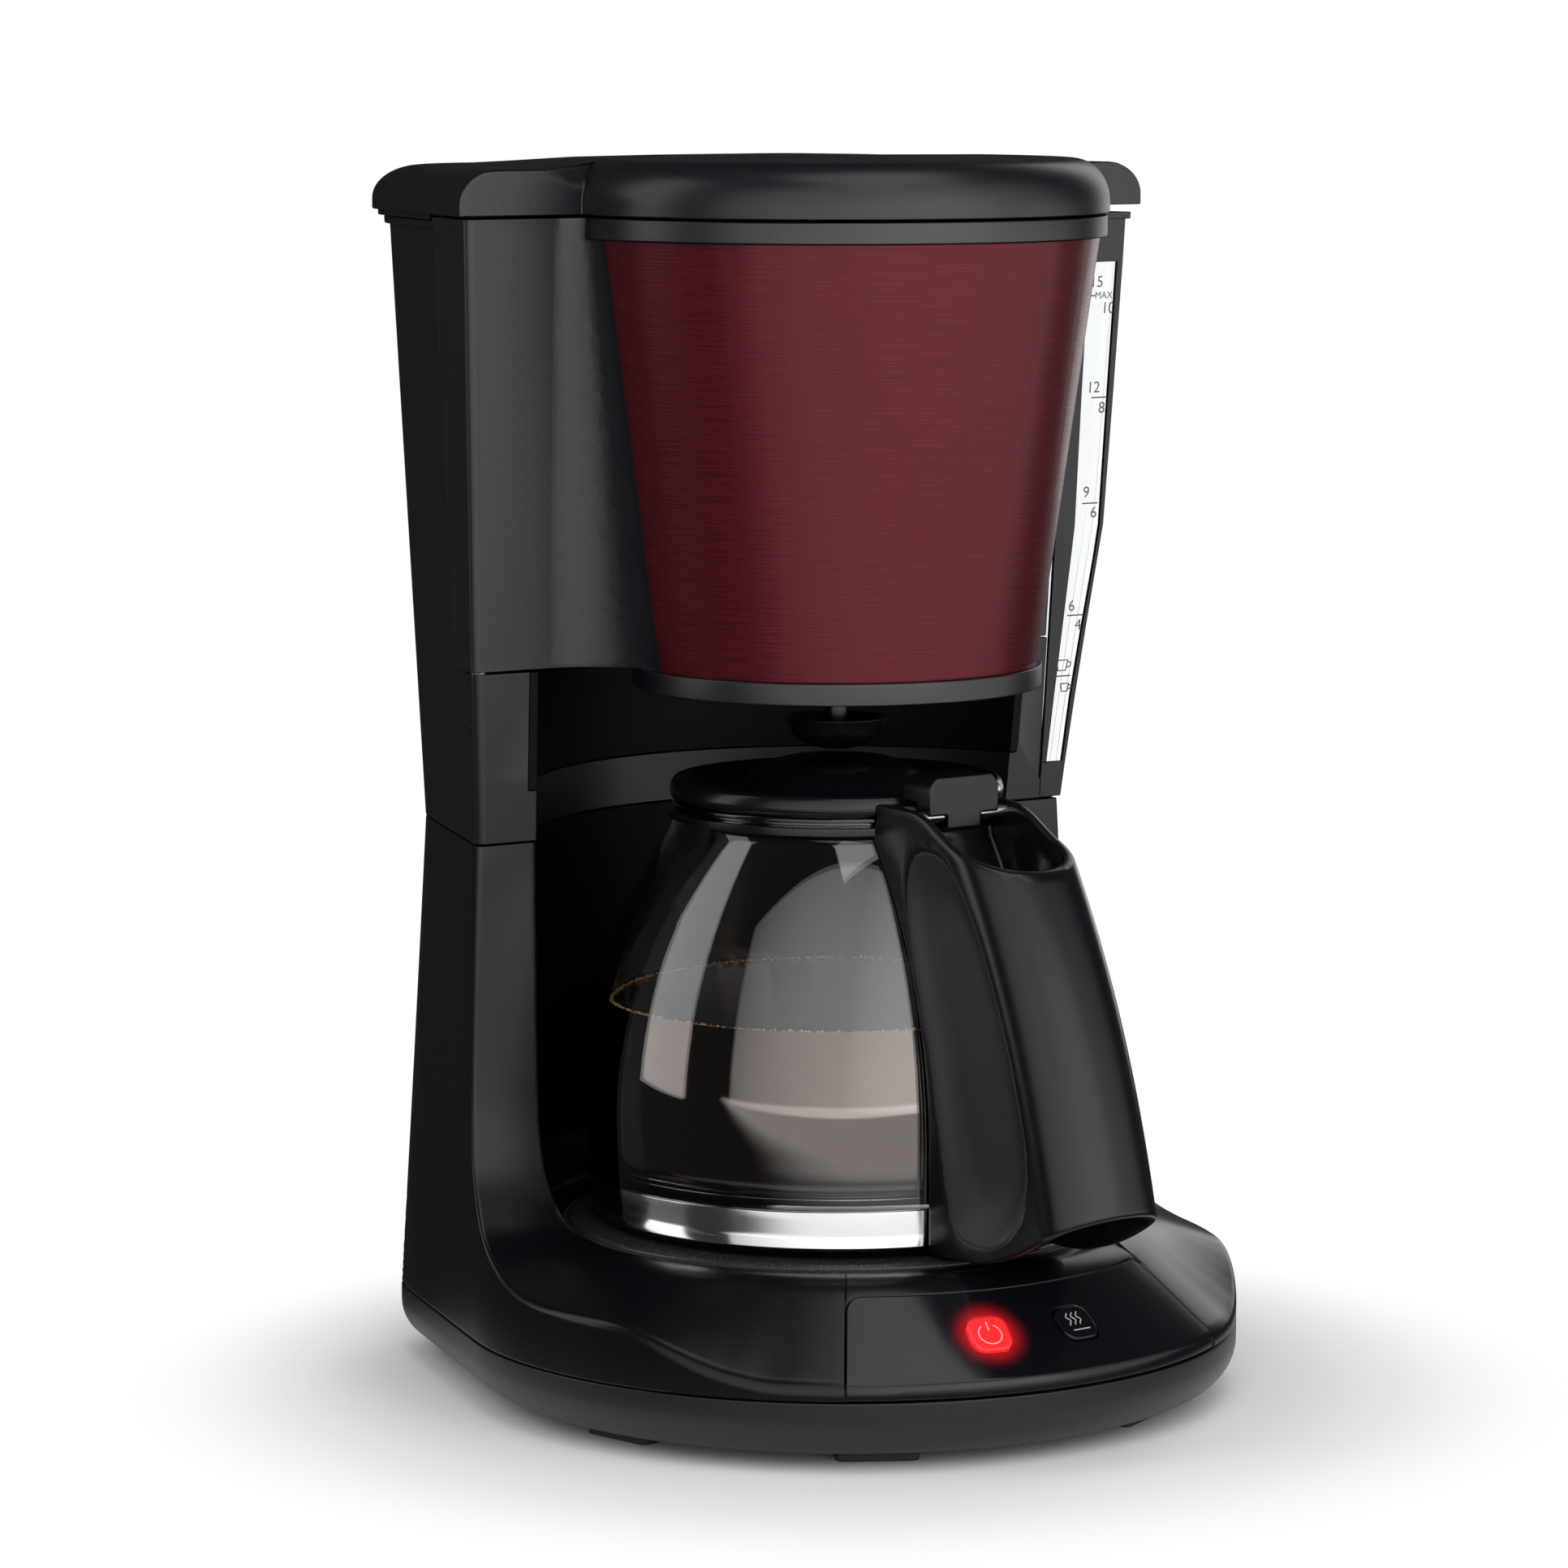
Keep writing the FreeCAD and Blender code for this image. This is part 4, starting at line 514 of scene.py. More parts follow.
class Maker:
    """Turns meshes into finished pieces that ride on the frame."""

    SHARP = 38.0      # edges that fold more than this stay edges, degrees
    FLAT = 0.4        # faces that fold less than this are one, degrees
    SEGMENTS = 2

    @staticmethod
    def plain(obj: bpy.types.Object) -> None:
        """Bake an object's modifiers into its mesh.

        Args:
            obj: The object, with its modifiers live.
        """
        graph = bpy.context.evaluated_depsgraph_get()
        baked = bpy.data.meshes.new_from_object(obj.evaluated_get(graph))
        obj.modifiers.clear()
        obj.data = baked

    @classmethod
    def piece(cls, name: str, mesh: bpy.types.Mesh, body: Body, finish: Finish, bevel: float = 0.0,
              replaced: Sequence[str] = (), sharp: float = SHARP) -> bpy.types.Object:
        """Smooth a mesh, round its edges, dress it and hang it on a body.

        Args:
            name: The piece's name.
            mesh: Its mesh, in the frame.
            body: The body that it moves with.
            finish: What it is made of.
            bevel: Width of the rounding along its edges, mm.
            replaced: The CAD nodes that it stands for.
            sharp: Edges that fold more than this many degrees stay edges.

        Returns:
            The finished object.
        """
        obj = bpy.data.objects.new(name, mesh)
        bpy.context.scene.collection.objects.link(obj)
        mesh.shade_smooth()
        mesh.set_sharp_from_angle(angle=math.radians(sharp))
        if bevel:
            edge = obj.modifiers.new("edges", "BEVEL")
            edge.width = bevel * MM
            edge.segments = cls.SEGMENTS
            edge.limit_method = "ANGLE"
            edge.angle_limit = math.radians(sharp)
            edge.use_clamp_overlap = False
            edge.miter_outer = "MITER_ARC"
        shade = obj.modifiers.new("shading", "WEIGHTED_NORMAL")
        shade.keep_sharp = not bevel
        cls.plain(obj)
        cls.dress(obj, body, finish, replaced)
        return obj

    @staticmethod
    def dress(obj: bpy.types.Object, body: Body, finish: Finish, replaced: Sequence[str] = ()) -> None:
        """Give a piece its finish and its body, and hide the CAD nodes that it stands for.

        Args:
            obj: The piece.
            body: The body that it moves with.
            finish: What it is made of.
            replaced: The CAD nodes that it stands for.
        """
        obj.data.materials.clear()
        obj.data.materials.append(finish.material())
        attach(obj, body.value)
        if replaced:
            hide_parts(*replaced)
        LOG.info("%s: %d faces", obj.name, len(obj.data.polygons))

    @classmethod
    def softened(cls, node: str, body: Body, finish: Finish, bevel: float = 0.3) -> bpy.types.Object:
        """Stand a welded copy of a CAD node, with rounded edges, in its place.

        Args:
            node: The CAD node's name.
            body: The body that it moves with.
            finish: What it is made of.
            bevel: Width of the rounding along its edges, mm.

        Returns:
            The finished object.
        """
        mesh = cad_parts[node].data.copy()
        work = bmesh.new()
        work.from_mesh(mesh)
        bmesh.ops.remove_doubles(work, verts=work.verts, dist=WELD * MM)
        bmesh.ops.dissolve_degenerate(work, edges=work.edges, dist=WELD * MM)
        flat = math.radians(cls.FLAT)
        bmesh.ops.dissolve_limit(work, angle_limit=flat, verts=work.verts, edges=work.edges)
        work.to_mesh(mesh)
        work.free()
        return cls.piece(f"{node}_dressed", mesh, body, finish, bevel, (node,))

    @staticmethod
    def painted(node: str, finish: Finish) -> None:
        """Give a CAD node that stays as it is its finish.

        Args:
            node: The CAD node's name.
            finish: What it is made of.
        """
        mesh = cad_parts[node].data
        mesh.materials.clear()
        mesh.materials.append(finish.material())


class Growth:
    """The Geometry Nodes trees that make what repeats or follows a path."""

    GEOMETRY = {"Geometry": "NodeSocketGeometry"}
    LINE_SIDES = 8
    BUBBLE_STEPS = 2

    @classmethod
    def close(cls, nodes: Nodes, grown: bpy.types.NodeSocket, given: dict, sink: bpy.types.Node) -> None:
        """End a tree: make its copies real and give them their material.

        Args:
            nodes: The tree's nodes.
            grown: What the tree has made.
            given: The tree's input sockets by name.
            sink: The node that takes the result.
        """
        real = nodes.add("GeometryNodeRealizeInstances", {"Geometry": grown}).outputs[0]
        coloured = nodes.add("GeometryNodeSetMaterial", {"Geometry": real, "Material": given["Material"]})
        nodes.tree.links.new(coloured.outputs[0], sink.inputs["Geometry"])

    @classmethod
    def stroke(cls) -> bpy.types.NodeTree:
        """Make the tree that draws a raised line along every edge of a mesh, on first use.

        Returns:
            The tree.
        """
        found = bpy.data.node_groups.get("raised_line")
        if found:
            return found
        sockets = {**cls.GEOMETRY, "Half Width": "NodeSocketFloat", "Material": "NodeSocketMaterial"}
        nodes, given, sink = new_tree("raised_line", "GeometryNodeTree", sockets, cls.GEOMETRY)
        path = nodes.add("GeometryNodeMeshToCurve", {"Mesh": given["Geometry"]}).outputs[0]
        size = {"Resolution": cls.LINE_SIDES, "Radius": given["Half Width"]}
        ring = nodes.add("GeometryNodeCurvePrimitiveCircle", size)
        inputs = {"Curve": path, "Profile Curve": ring.outputs[0], "Fill Caps": True}
        cls.close(nodes, nodes.add("GeometryNodeCurveToMesh", inputs).outputs[0], given, sink)
        return nodes.tree

    @classmethod
    def bubbles(cls) -> bpy.types.NodeTree:
        """Make the tree that sets bubbles of mixed size along every edge of a mesh.

        Returns:
            The tree.
        """
        sockets = {**cls.GEOMETRY, "Count": "NodeSocketInt", "Smallest": "NodeSocketFloat",
                   "Largest": "NodeSocketFloat", "Scatter": "NodeSocketFloat", "Seed": "NodeSocketInt",
                   "Material": "NodeSocketMaterial"}
        nodes, given, sink = new_tree("foam_bubbles", "GeometryNodeTree", sockets, cls.GEOMETRY)
        path = nodes.add("GeometryNodeMeshToCurve", {"Mesh": given["Geometry"]}).outputs[0]
        spots = nodes.add("GeometryNodeCurveToPoints", {"Curve": path, "Count": given["Count"]}).outputs[0]
        low = nodes.maths("MULTIPLY", given["Scatter"], -1.0)
        ends = [nodes.add("ShaderNodeCombineXYZ", {0: side, 1: side, 2: side}).outputs[0]
                for side in (low, given["Scatter"])]
        # a random node's sockets 0 and 1 are the ends of its vector, 2 and 3 those of its number
        offset = nodes.add("FunctionNodeRandomValue", {"Seed": given["Seed"]}, data_type="FLOAT_VECTOR")
        nodes.tree.links.new(ends[0], offset.inputs[0])
        nodes.tree.links.new(ends[1], offset.inputs[1])
        shift = {"Geometry": spots, "Offset": offset.outputs[0]}
        moved = nodes.add("GeometryNodeSetPosition", shift).outputs[0]
        scale = nodes.add("FunctionNodeRandomValue", {"Seed": given["Seed"]}, data_type="FLOAT")
        nodes.tree.links.new(given["Smallest"], scale.inputs[2])
        nodes.tree.links.new(given["Largest"], scale.inputs[3])
        form = {"Radius": 1.0, "Subdivisions": cls.BUBBLE_STEPS}
        ball = nodes.add("GeometryNodeMeshIcoSphere", form).outputs[0]
        grown = nodes.add("GeometryNodeInstanceOnPoints", {"Points": moved, "Instance": ball})
        nodes.tree.links.new(scale.outputs[1], grown.inputs["Scale"])
        cls.close(nodes, grown.outputs[0], given, sink)
        return nodes.tree

    @staticmethod
    def grow(name: str, mesh: bpy.types.Mesh, tree: bpy.types.NodeTree, values: dict, body: Body,
             finish: Finish) -> bpy.types.Object:
        """Run a tree on a mesh and keep the result as a plain piece.

        Args:
            name: The piece's name.
            mesh: What the tree starts from.
            tree: The Geometry Nodes tree.
            values: The tree's inputs by name.
            body: The body that the piece moves with.
            finish: What it is made of.

        Returns:
            The finished object.
        """
        obj = bpy.data.objects.new(name, mesh)
        modifier = obj.modifiers.new("growth", "NODES")
        modifier.node_group = tree
        values = {**values, "Material": finish.material()}
        for item in tree.interface.items_tree:
            if item.in_out == "INPUT" and item.name in values:
                modifier[item.identifier] = values[item.name]
        bpy.context.scene.collection.objects.link(obj)
        Maker.plain(obj)
        obj.data.shade_smooth()
        Maker.dress(obj, body, finish)
        return obj


def line_mesh(name: str, lines: Sequence[np.ndarray]) -> bpy.types.Mesh:
    """Make a mesh of open polylines.

    Args:
        name: The mesh's name.
        lines: Points in millimetres about the jug's axis, line by line.

    Returns:
        The new mesh.
    """
    points: list[list[float]] = []
    edges: list[tuple[int, int]] = []
    for line in lines:
        first = len(points)
        points += to_frame(line).tolist()
        edges += [(first + step, first + step + 1) for step in range(len(line) - 1)]
    mesh = bpy.data.meshes.new(name)
    mesh.from_pydata(points, edges, [])
    return mesh


class Outline:
    """Half of a level outline with a round rear corner, read as reach from the base's centre."""

    CORNER_POINTS = 40
    SIDE_POINTS = 30

    def __init__(self, front: tuple[float, float], front_radius: float, rear: tuple[float, float],
                 rear_radius: float) -> None:
        """Draw the outline.

        Args:
            front: Centre of the front round.
            front_radius: Its radius.
            rear: Centre of the rear corner.
            rear_radius: Its radius.
        """
        first, second = np.array(front), np.array(rear)
        along = second - first
        length = float(np.linalg.norm(along))
        along = along / length
        lean = (front_radius - rear_radius) / length
        outward = along * lean + np.array([along[1], -along[0]]) * math.sqrt(1.0 - lean * lean)
        start = math.atan2(outward[1], outward[0])
        turns = np.linspace(start, math.pi / 2, self.CORNER_POINTS)
        corner = second + rear_radius * np.stack([np.cos(turns), np.sin(turns)], axis=1)
        along = np.linspace(0.0, 1.0, self.SIDE_POINTS)[:, None]
        side = mix(first + outward * front_radius, corner[0], along)
        back = mix(corner[-1], np.array([0.0, corner[-1][1]]), along)
        points = np.concatenate([side, corner, back])
        self.angles = np.degrees(np.arctan2(points[:, 0], BASE_Y - points[:, 1]))
        self.reaches = np.hypot(points[:, 0], points[:, 1] - BASE_Y)

    def reach(self, degrees: object) -> np.ndarray:
        """Distance from the base's centre at an angle from the front."""
        return np.interp(degrees, self.angles, self.reaches)


def mirrored(points: np.ndarray) -> np.ndarray:
    """The same points on the other side of the machine's middle plane."""
    return points * (-1.0, 1.0, 1.0)


@dataclass
class LowerShell:
    """The deck that sweeps up into the column behind the jug: one flowing shell."""

    base_radius: float = 107.5
    base_rear: tuple[float, float] = (58.5, 82.0)
    column_front: tuple[float, float] = (96.5, 30.7)
    column_edge: float = 0.01
    column_rear: tuple[float, float] = (49.8, 81.4)
    rear_radius: float = 30.0
    taper_start: float = 60.0
    taper_run: float = 50.0
    taper_behind: float = 114.0
    deck_soft: float = 0.16
    panel_inner: float = 84.5
    panel_edge: float = 33.4
    panel_round: float = 4.3
    panel_share: float = 0.75
    panel_bend: float = 0.34
    bend_points: int = 12
    panel_row: int = 3
    niche_row: int = 12
    niche_foot: float = 62.0
    niche_reach: float = 97.0
    niche_ledge: float = 140.0
    niche_facing: float = 0.5
    corner_row: int = 18
    steps: int = 6
    recess_reach: float = 104.0
    recess_floor: float = 20.5
    inner_soft: float = 1.2
    inner_points: int = 4
    rim_points: int = 6
    rim_room: float = 1.4
    wall_points: int = 30
    seat_points: int = 11
    ledge_points: int = 10
    niche_points: int = 61
    niche_blend: float = 0.2

    # rim angle and height; inner edge's angle, reach and height; lead's angle, reach and height;
    # foot's angle and height; rim's softness; share of the column's straight top
    STATIONS = (
        (0.0, 23.5, 0.0, 76.6, 46.4, 0.0, 76.6, 42.0, 0.0, 19.5, 2.6, 0.0),
        (12.0, 23.5, 11.1, 76.6, 46.4, 11.1, 76.6, 42.0, 12.0, 19.5, 2.6, 0.0),
        (24.0, 23.5, 22.2, 76.6, 46.4, 22.2, 76.6, 42.0, 24.0, 19.5, 2.6, 0.0),
        (33.4, 23.5, 30.9, 76.6, 46.4, 30.9, 76.6, 42.0, 33.4, 19.5, 2.6, 0.0),
        (42.5, 23.6, 39.5, 76.6, 46.4, 39.5, 76.6, 42.0, 42.5, 19.5, 2.6, 0.0),
        (49.4, 25.4, 46.2, 76.6, 46.4, 46.2, 76.6, 42.0, 49.4, 19.5, 2.7, 0.0),
        (54.2, 27.9, 51.4, 76.6, 46.4, 51.4, 76.6, 42.0, 54.2, 19.5, 2.8, 0.0),
        (58.0, 30.5, 56.2, 76.6, 46.4, 56.2, 76.6, 42.0, 58.0, 19.5, 2.8, 0.0),
        (62.0, 33.2, 61.0, 76.6, 46.4, 61.0, 76.6, 42.0, 62.0, 19.5, 2.7, 0.0),
        (66.0, 35.1, 65.6, 76.6, 46.4, 65.6, 76.6, 42.0, 66.0, 19.5, 2.5, 0.0),
        (70.0, 35.9, 70.0, 76.6, 46.4, 70.0, 76.6, 42.0, 70.0, 19.5, 2.3, 0.0),
        (76.0, 36.1, 76.0, 76.6, 46.4, 76.0, 76.6, 42.0, 79.0, 19.5, 2.1, 0.0),
        (82.0, 36.3, 81.7, 76.6, 46.4, 84.0, 76.6, 42.0, 88.0, 19.5, 1.9, 0.0),
        (87.0, 37.1, 86.5, 76.7, 46.5, 89.5, 76.6, 44.5, 95.0, 19.5, 1.8, 0.05),
        (92.0, 39.2, 91.5, 77.0, 46.8, 95.0, 76.9, 46.2, 106.0, 19.5, 1.8, 0.25),
        (97.5, 43.9, 97.5, 77.8, 48.3, 101.0, 78.9, 47.2, 122.0, 19.5, 1.8, 0.6),
        (101.6, 49.6, 102.0, 79.3, 51.5, 105.5, 81.2, 49.5, 145.0, 19.5, 1.8, 0.85),
        (105.0, 57.5, 105.6, 81.2, 57.5, 109.0, 82.8, 54.8, 168.0, 19.5, 1.8, 0.97),
        (107.3, 66.0, 107.8, 82.6, 66.0, 111.0, 83.4, 63.5, 180.0, 19.5, 1.8, 1.0),
        (108.6, 78.0, 109.2, 83.3, 78.0, 112.2, 83.5, 76.5, 180.0, 45.0, 1.8, 1.0),
        (109.6, 100.0, 110.0, 83.5, 100.0, 113.0, 83.5, 99.5, 180.0, 80.0, 1.8, 1.0),
        (110.2, 125.0, 110.8, 83.5, 125.0, 113.8, 83.5, 125.0, 180.0, 118.0, 1.8, 1.0),
        (110.8, 152.7, 111.6, 83.5, 152.7, 114.6, 83.5, 152.7, 180.0, 152.7, 1.8, 1.0),
    )
    LEAD = (5, 6, 7)    # the columns of the lead's angle, reach and height
    # reach and height of the niche's wall at the very back, from the plate's hole upwards
    BACK = ((76.6, 42.0), (76.6, 44.5), (76.7, 46.3), (79.5, 46.6), (82.6, 47.0), (83.5, 50.0), (83.5, 57.0),
            (83.5, 66.0), (83.5, 95.0), (83.5, 125.0), (83.5, 152.7))

    def __post_init__(self) -> None:
        """Read the two level outlines that the wall runs between."""
        self.base = Outline((0.0, BASE_Y), self.base_radius, self.base_rear, self.rear_radius)
        self.column = Outline(self.column_front, self.column_edge, self.column_rear, self.rear_radius)

    def wall(self, degrees: object, height: object) -> np.ndarray:
        """Points on the outer wall.

        Args:
            degrees: Angles from the front.
            height: Heights.

        Returns:
            One point for each angle and height.
        """
        behind = np.maximum(degrees, self.taper_behind)
        taper = self.base.reach(behind) - self.column.reach(behind)
        taper = taper * np.clip((np.asarray(degrees) - self.taper_start) / self.taper_run, 0.0, 1.0)
        share = (np.asarray(height) - BASE_SEAM) / (WAIST - BASE_SEAM)
        return polar(self.base.reach(degrees) - taper * share, degrees, height, BASE_Y)

    def top(self, edge: np.ndarray, inner: np.ndarray, at: np.ndarray, column: float) -> np.ndarray:
        """Points across the top from the rim to the inner edge.

        Args:
            edge: The rim's point.
            inner: The inner edge's point.
            at: Shares of the way.
            column: Share of the straight column top in the sloping deck.

        Returns:
            One point for each share.
        """
        points = mix(edge, inner, at[:, None])
        reach = np.hypot(points[:, 0], points[:, 1] - BASE_Y)
        rim = math.hypot(edge[0], edge[1] - BASE_Y)
        fall = (reach - DECK_FLAT) / (rim - DECK_FLAT)
        soft = self.deck_soft
        eased = np.where(fall < soft, np.maximum(fall + soft, 0.0) ** 2 / (4.0 * soft), fall)
        deck = DECK_TOP - (DECK_TOP - edge[2]) * eased
        points[:, 2] = mix(deck, points[:, 2], column)
        return points

    def profile(self, row: np.ndarray, recessed: bool) -> np.ndarray:
        """The cross profile of one station.

        Args:
            row: The station's values.
            recessed: Whether the control panel's seat is cut here.

        Returns:
            Points from the foot of the wall over the rim and inwards.
        """
        angle, rim_z, turn, reach, inner_z, lead_turn, lead_reach, lead_z, foot, foot_z, soft, column = row
        edge = self.wall(angle, rim_z)
        inner = polar(reach, turn, inner_z)
        lead = polar(lead_reach, lead_turn, lead_z)
        run = np.linalg.norm(edge - self.wall(foot, foot_z))
        along = np.linspace(0.0, 1.0 - soft / max(run, self.rim_room * soft), self.wall_points)
        wall = self.wall(mix(foot, angle, along), mix(foot_z, rim_z, along))
        width = np.linalg.norm(edge - inner)
        rim_reach = math.hypot(edge[0], edge[1] - BASE_Y)
        inner_reach = math.hypot(inner[0], inner[1] - BASE_Y)
        start = self.panel_inner + (self.corner(angle) if recessed else 0.0)
        split = min((rim_reach - start) / (rim_reach - inner_reach), self.panel_share)
        outer_part = np.linspace(soft / width, split, self.seat_points)
        inner_part = np.linspace(split, 1.0 - self.inner_soft / width, self.ledge_points)
        top = self.top(edge, inner, np.concatenate([outer_part, inner_part]), column)
        drop = mix(inner, lead, min(self.inner_soft / np.linalg.norm(lead - inner), 0.5))
        rim_soft = curve3(wall[-1], edge, top[0], self.rim_points)
        inner_soft = curve3(top[-1], inner, drop, self.inner_points)
        points = np.concatenate([wall, rim_soft, top, inner_soft, [drop, lead]])
        if recessed:
            seat = points[:len(wall) + len(rim_soft) + len(outer_part)]
            away = np.hypot(seat[:, 0], seat[:, 1] - BASE_Y)
            shrink = np.minimum(self.recess_reach / away, 1.0)
            seat[:, 0] *= shrink
            seat[:, 1] = BASE_Y + (seat[:, 1] - BASE_Y) * shrink
            seat[:, 2] = np.minimum(seat[:, 2], self.recess_floor)
        return points

    def corner(self, angle: float) -> float:
        """How far the round corner of the panel's seat draws its inner edge outwards.

        Args:
            angle: The angle from the front.

        Returns:
            The distance, 0 away from the corner.
        """
        radius = self.panel_round
        left = radius - math.radians(self.panel_edge - angle) * self.panel_inner
        return radius - math.sqrt(radius ** 2 - min(max(left, 0.0), radius) ** 2)

    def niche(self, rows: np.ndarray, at: np.ndarray) -> np.ndarray:
        """The wall and ledge behind the jug, from the right lead round to the left one.

        Args:
            rows: The values of the stations that it starts from.
            at: The places of these stations.

        Returns:
            Points in rows and columns.
        """
        back = flowing(self.BACK, at - self.niche_row)
        across = np.linspace(0.0, 1.0, self.niche_points)
        share = smoothstep(0.0, self.niche_blend, np.minimum(across, 1.0 - across))
        start, reach, height = (rows[:, column:column + 1] for column in self.LEAD)
        turn = mix(start, 360.0 - start, across)
        return polar(mix(reach, back[:, :1], share), turn, mix(height, back[:, 1:], share))

    def build(self) -> None:
        """Build the shell and put it in its node's place."""
        last = len(self.STATIONS) - 1
        quarter = np.linspace(0.0, math.pi / 2, self.bend_points)
        rounded = self.panel_row - self.panel_bend * (1.0 - np.sin(quarter))
        straight = np.linspace(0.0, rounded[0], self.panel_row * self.steps, endpoint=False)
        before = np.concatenate([straight, rounded])
        after = np.linspace(self.panel_row, last, (last - self.panel_row) * self.steps + 1)
        seat = [self.profile(row, True) for row in flowing(self.STATIONS, before)]
        rows = flowing(self.STATIONS, after)
        right = np.array(seat + [self.profile(row, False) for row in rows])
        places = np.concatenate([before, after])
        near = after > self.niche_row - NEAR
        niche = self.niche(rows[near], after[near])
        shape = Shape()
        shape.grid(right)
        shape.grid(mirrored(right))
        shape.grid(niche)
        hole = right[places < self.niche_row + NEAR, -1]
        shape.face(np.concatenate([hole, niche[0, 1:-1], mirrored(hole)[::-1]]))
        foot = right[places < self.corner_row + NEAR, 0]
        shape.face(np.concatenate([foot, mirrored(foot)[::-1]]))
        shape.face(np.concatenate([right[-1], niche[-1, 1:-1], mirrored(right[-1])[::-1]]))
        made = Maker.piece("lower_shell", shape.mesh("lower_shell"), Body.HOUSING, Finishes.DECK, bevel=0.3,
                           replaced=("lower_body",), sharp=50.0)
        self.paint_niche_shade(made.data)

    def paint_niche_shade(self, mesh: bpy.types.Mesh) -> None:
        """Paint shade on the faces that look in on the jug from behind the niche: they take the niche's
        darker, duller finish, which stands in for the shade that falls there.

        Args:
            mesh: The finished shell.
        """
        mesh.materials.append(Finishes.NICHE_PAINTED_SHADE.material())
        middle = Vector(to_frame(np.zeros((1, 3)))[0])
        for face in mesh.polygons:
            inward = middle - face.center
            height = -inward.z / MM
            inward.z = 0.0
            inside = height > self.niche_foot and inward.length < self.niche_reach * MM
            wall = face.normal.dot(inward.normalized()) > self.niche_facing
            ledge = height > self.niche_ledge and face.normal.z > self.niche_facing
            if inside and (wall or ledge):
                face.material_index = 1


@dataclass
class Lid:
    """The top lid: a round front between two facetted shoulders, with an inner shell and knuckles."""

    bottom: float = 323.4
    rise: float = 14.55
    shoulder_rise: float = 12.2
    skirt: float = 3.0
    rounding: float = 12.0
    front_rounding: float = 10.0
    radius: float = 74.0
    half: float = 110.5
    face: float = 12.2
    back: float = 110.0
    crease: float = 75.6
    crease_height: float = 329.6
    crease_slope: float = 1.4
    ramp: float = 8.0
    ramp_run: float = 6.0
    corner: float = 30.0
    taper: float = 0.205
    wall: float = 2.2
    lip_front: float = 41.5
    lip_bottom: float = 321.8
    lip_top: float = 325.0
    lip_gap: float = 0.2
    lip_wall: float = 1.2
    edge_turn: float = 86.0
    edge_points: int = 16
    front_points: int = 44
    valley_points: int = 5
    shoulder_points: int = 12
    crown_y: float = 48.0
    crown_flat: float = 0.35
    knuckle_radius: float = 4.2
    knuckle_points: int = 20
    knuckle_root: float = 5.0
    knuckle_over: float = 3.5
    knuckle_under: float = 2.6
    knuckle_ends: tuple[float, float] = (38.0, 49.6)
    axis: tuple[float, float] = (113.6, 326.6)

    CROWN = (0.96, 0.88, 0.75, 0.55, 0.3, 0.05)    # shares of the edge's size, on to the middle of the top

    def outline(self, drawn: float, inset: float, high: float, low: float) -> np.ndarray:
        """One closed line round the lid.

        Args:
            drawn: Share of the edge's rounding by which it has drawn in.
            inset: How far inside the outer skin.
            high: Height of the round front.
            low: Height of the shoulders and the back.

        Returns:
            A closed loop of points.
        """
        radius = self.radius - self.front_rounding * drawn - inset
        half = self.half - self.rounding * drawn - inset
        back = self.back - self.rounding * drawn - inset
        face = self.face + inset
        cut = max(low - self.crease_height, 0.0)
        deep = face + self.ramp * float(smoothstep(0.0, self.ramp_run, cut))
        meet = np.array([math.sqrt(radius ** 2 - deep ** 2), deep, high])
        foot = np.array([self.crease + inset + cut * self.crease_slope, face, low])
        end = math.degrees(math.atan2(meet[0], -deep))
        front = polar(radius, np.linspace(0.0, end, self.front_points), high)
        valley = mix(meet, foot, np.linspace(0.0, 1.0, self.valley_points)[1:, None])
        tip = np.array([half, face, low])
        shoulder = mix(foot, tip, np.linspace(0.0, 1.0, self.shoulder_points)[1:, None])
        corner = self.corner - inset
        along = math.atan2(self.taper, 1.0)
        reach = corner / math.tan((math.pi / 2 + along) / 2)
        middle = np.array([half - self.taper * (back - face) - reach, back - corner])
        turns = np.linspace(along, math.pi / 2, self.edge_points)
        rounded = middle + corner * np.stack([np.cos(turns), np.sin(turns)], axis=1)
        rounded = np.column_stack([rounded, np.full(len(turns), low)])
        shares = np.linspace(0.0, 1.0, self.edge_points)[1:, None]
        side = mix(tip, rounded[0], shares[:-1])
        rest = mix(rounded[-1], np.array([0.0, back, low]), shares)
        right = np.concatenate([front, valley, shoulder, side, rounded, rest])
        return np.concatenate([right, mirrored(right)[-2:0:-1]])

    def rings(self, inset: float) -> list[np.ndarray]:
        """Lines from the lid's lower edge up over its rounded edge and on to the middle of its top.

        Args:
            inset: How far inside the outer skin.

        Returns:
            Closed loops of points.
        """
        foot = self.bottom + self.skirt
        rings = [self.outline(0.0, inset, self.bottom, self.bottom)]
        for turn in np.radians(np.linspace(0.0, self.edge_turn, self.edge_points)):
            high = foot + (self.rise - self.skirt - inset) * math.sin(turn)
            low = foot + (self.shoulder_rise - self.skirt - inset) * math.sin(turn)
            rings.append(self.outline(1.0 - math.cos(turn), inset, high, low))
        edge = rings[-1]
        middle = np.array([0.0, self.crown_y])
        crown = self.bottom + self.rise - inset
        for share in self.CROWN:
            ring = edge.copy()
            ring[:, :2] = middle + (edge[:, :2] - middle) * share
            ring[:, 2] = mix(crown, edge[:, 2], smoothstep(self.crown_flat, 1.0, share))
            rings.append(ring)
        return rings

    def build(self) -> None:
        """Build the lid, its lip and its knuckles and put them in their node's place."""
        outer, inner = self.rings(0.0), self.rings(self.wall)
        shape = Shape()
        shape.grid(np.array(outer), closed=True)
        shape.grid(np.array(inner), closed=True)
        shape.grid(np.array([inner[0], outer[0]]), closed=True)
        shape.face(outer[-1])
        shape.face(inner[-1])
        Maker.piece("lid_shell", shape.mesh("lid_shell"), Body.LID, Finishes.SATIN, bevel=0.35,
                    replaced=("top_lid",), sharp=34.0)
        self.lip()
        self.knuckles()

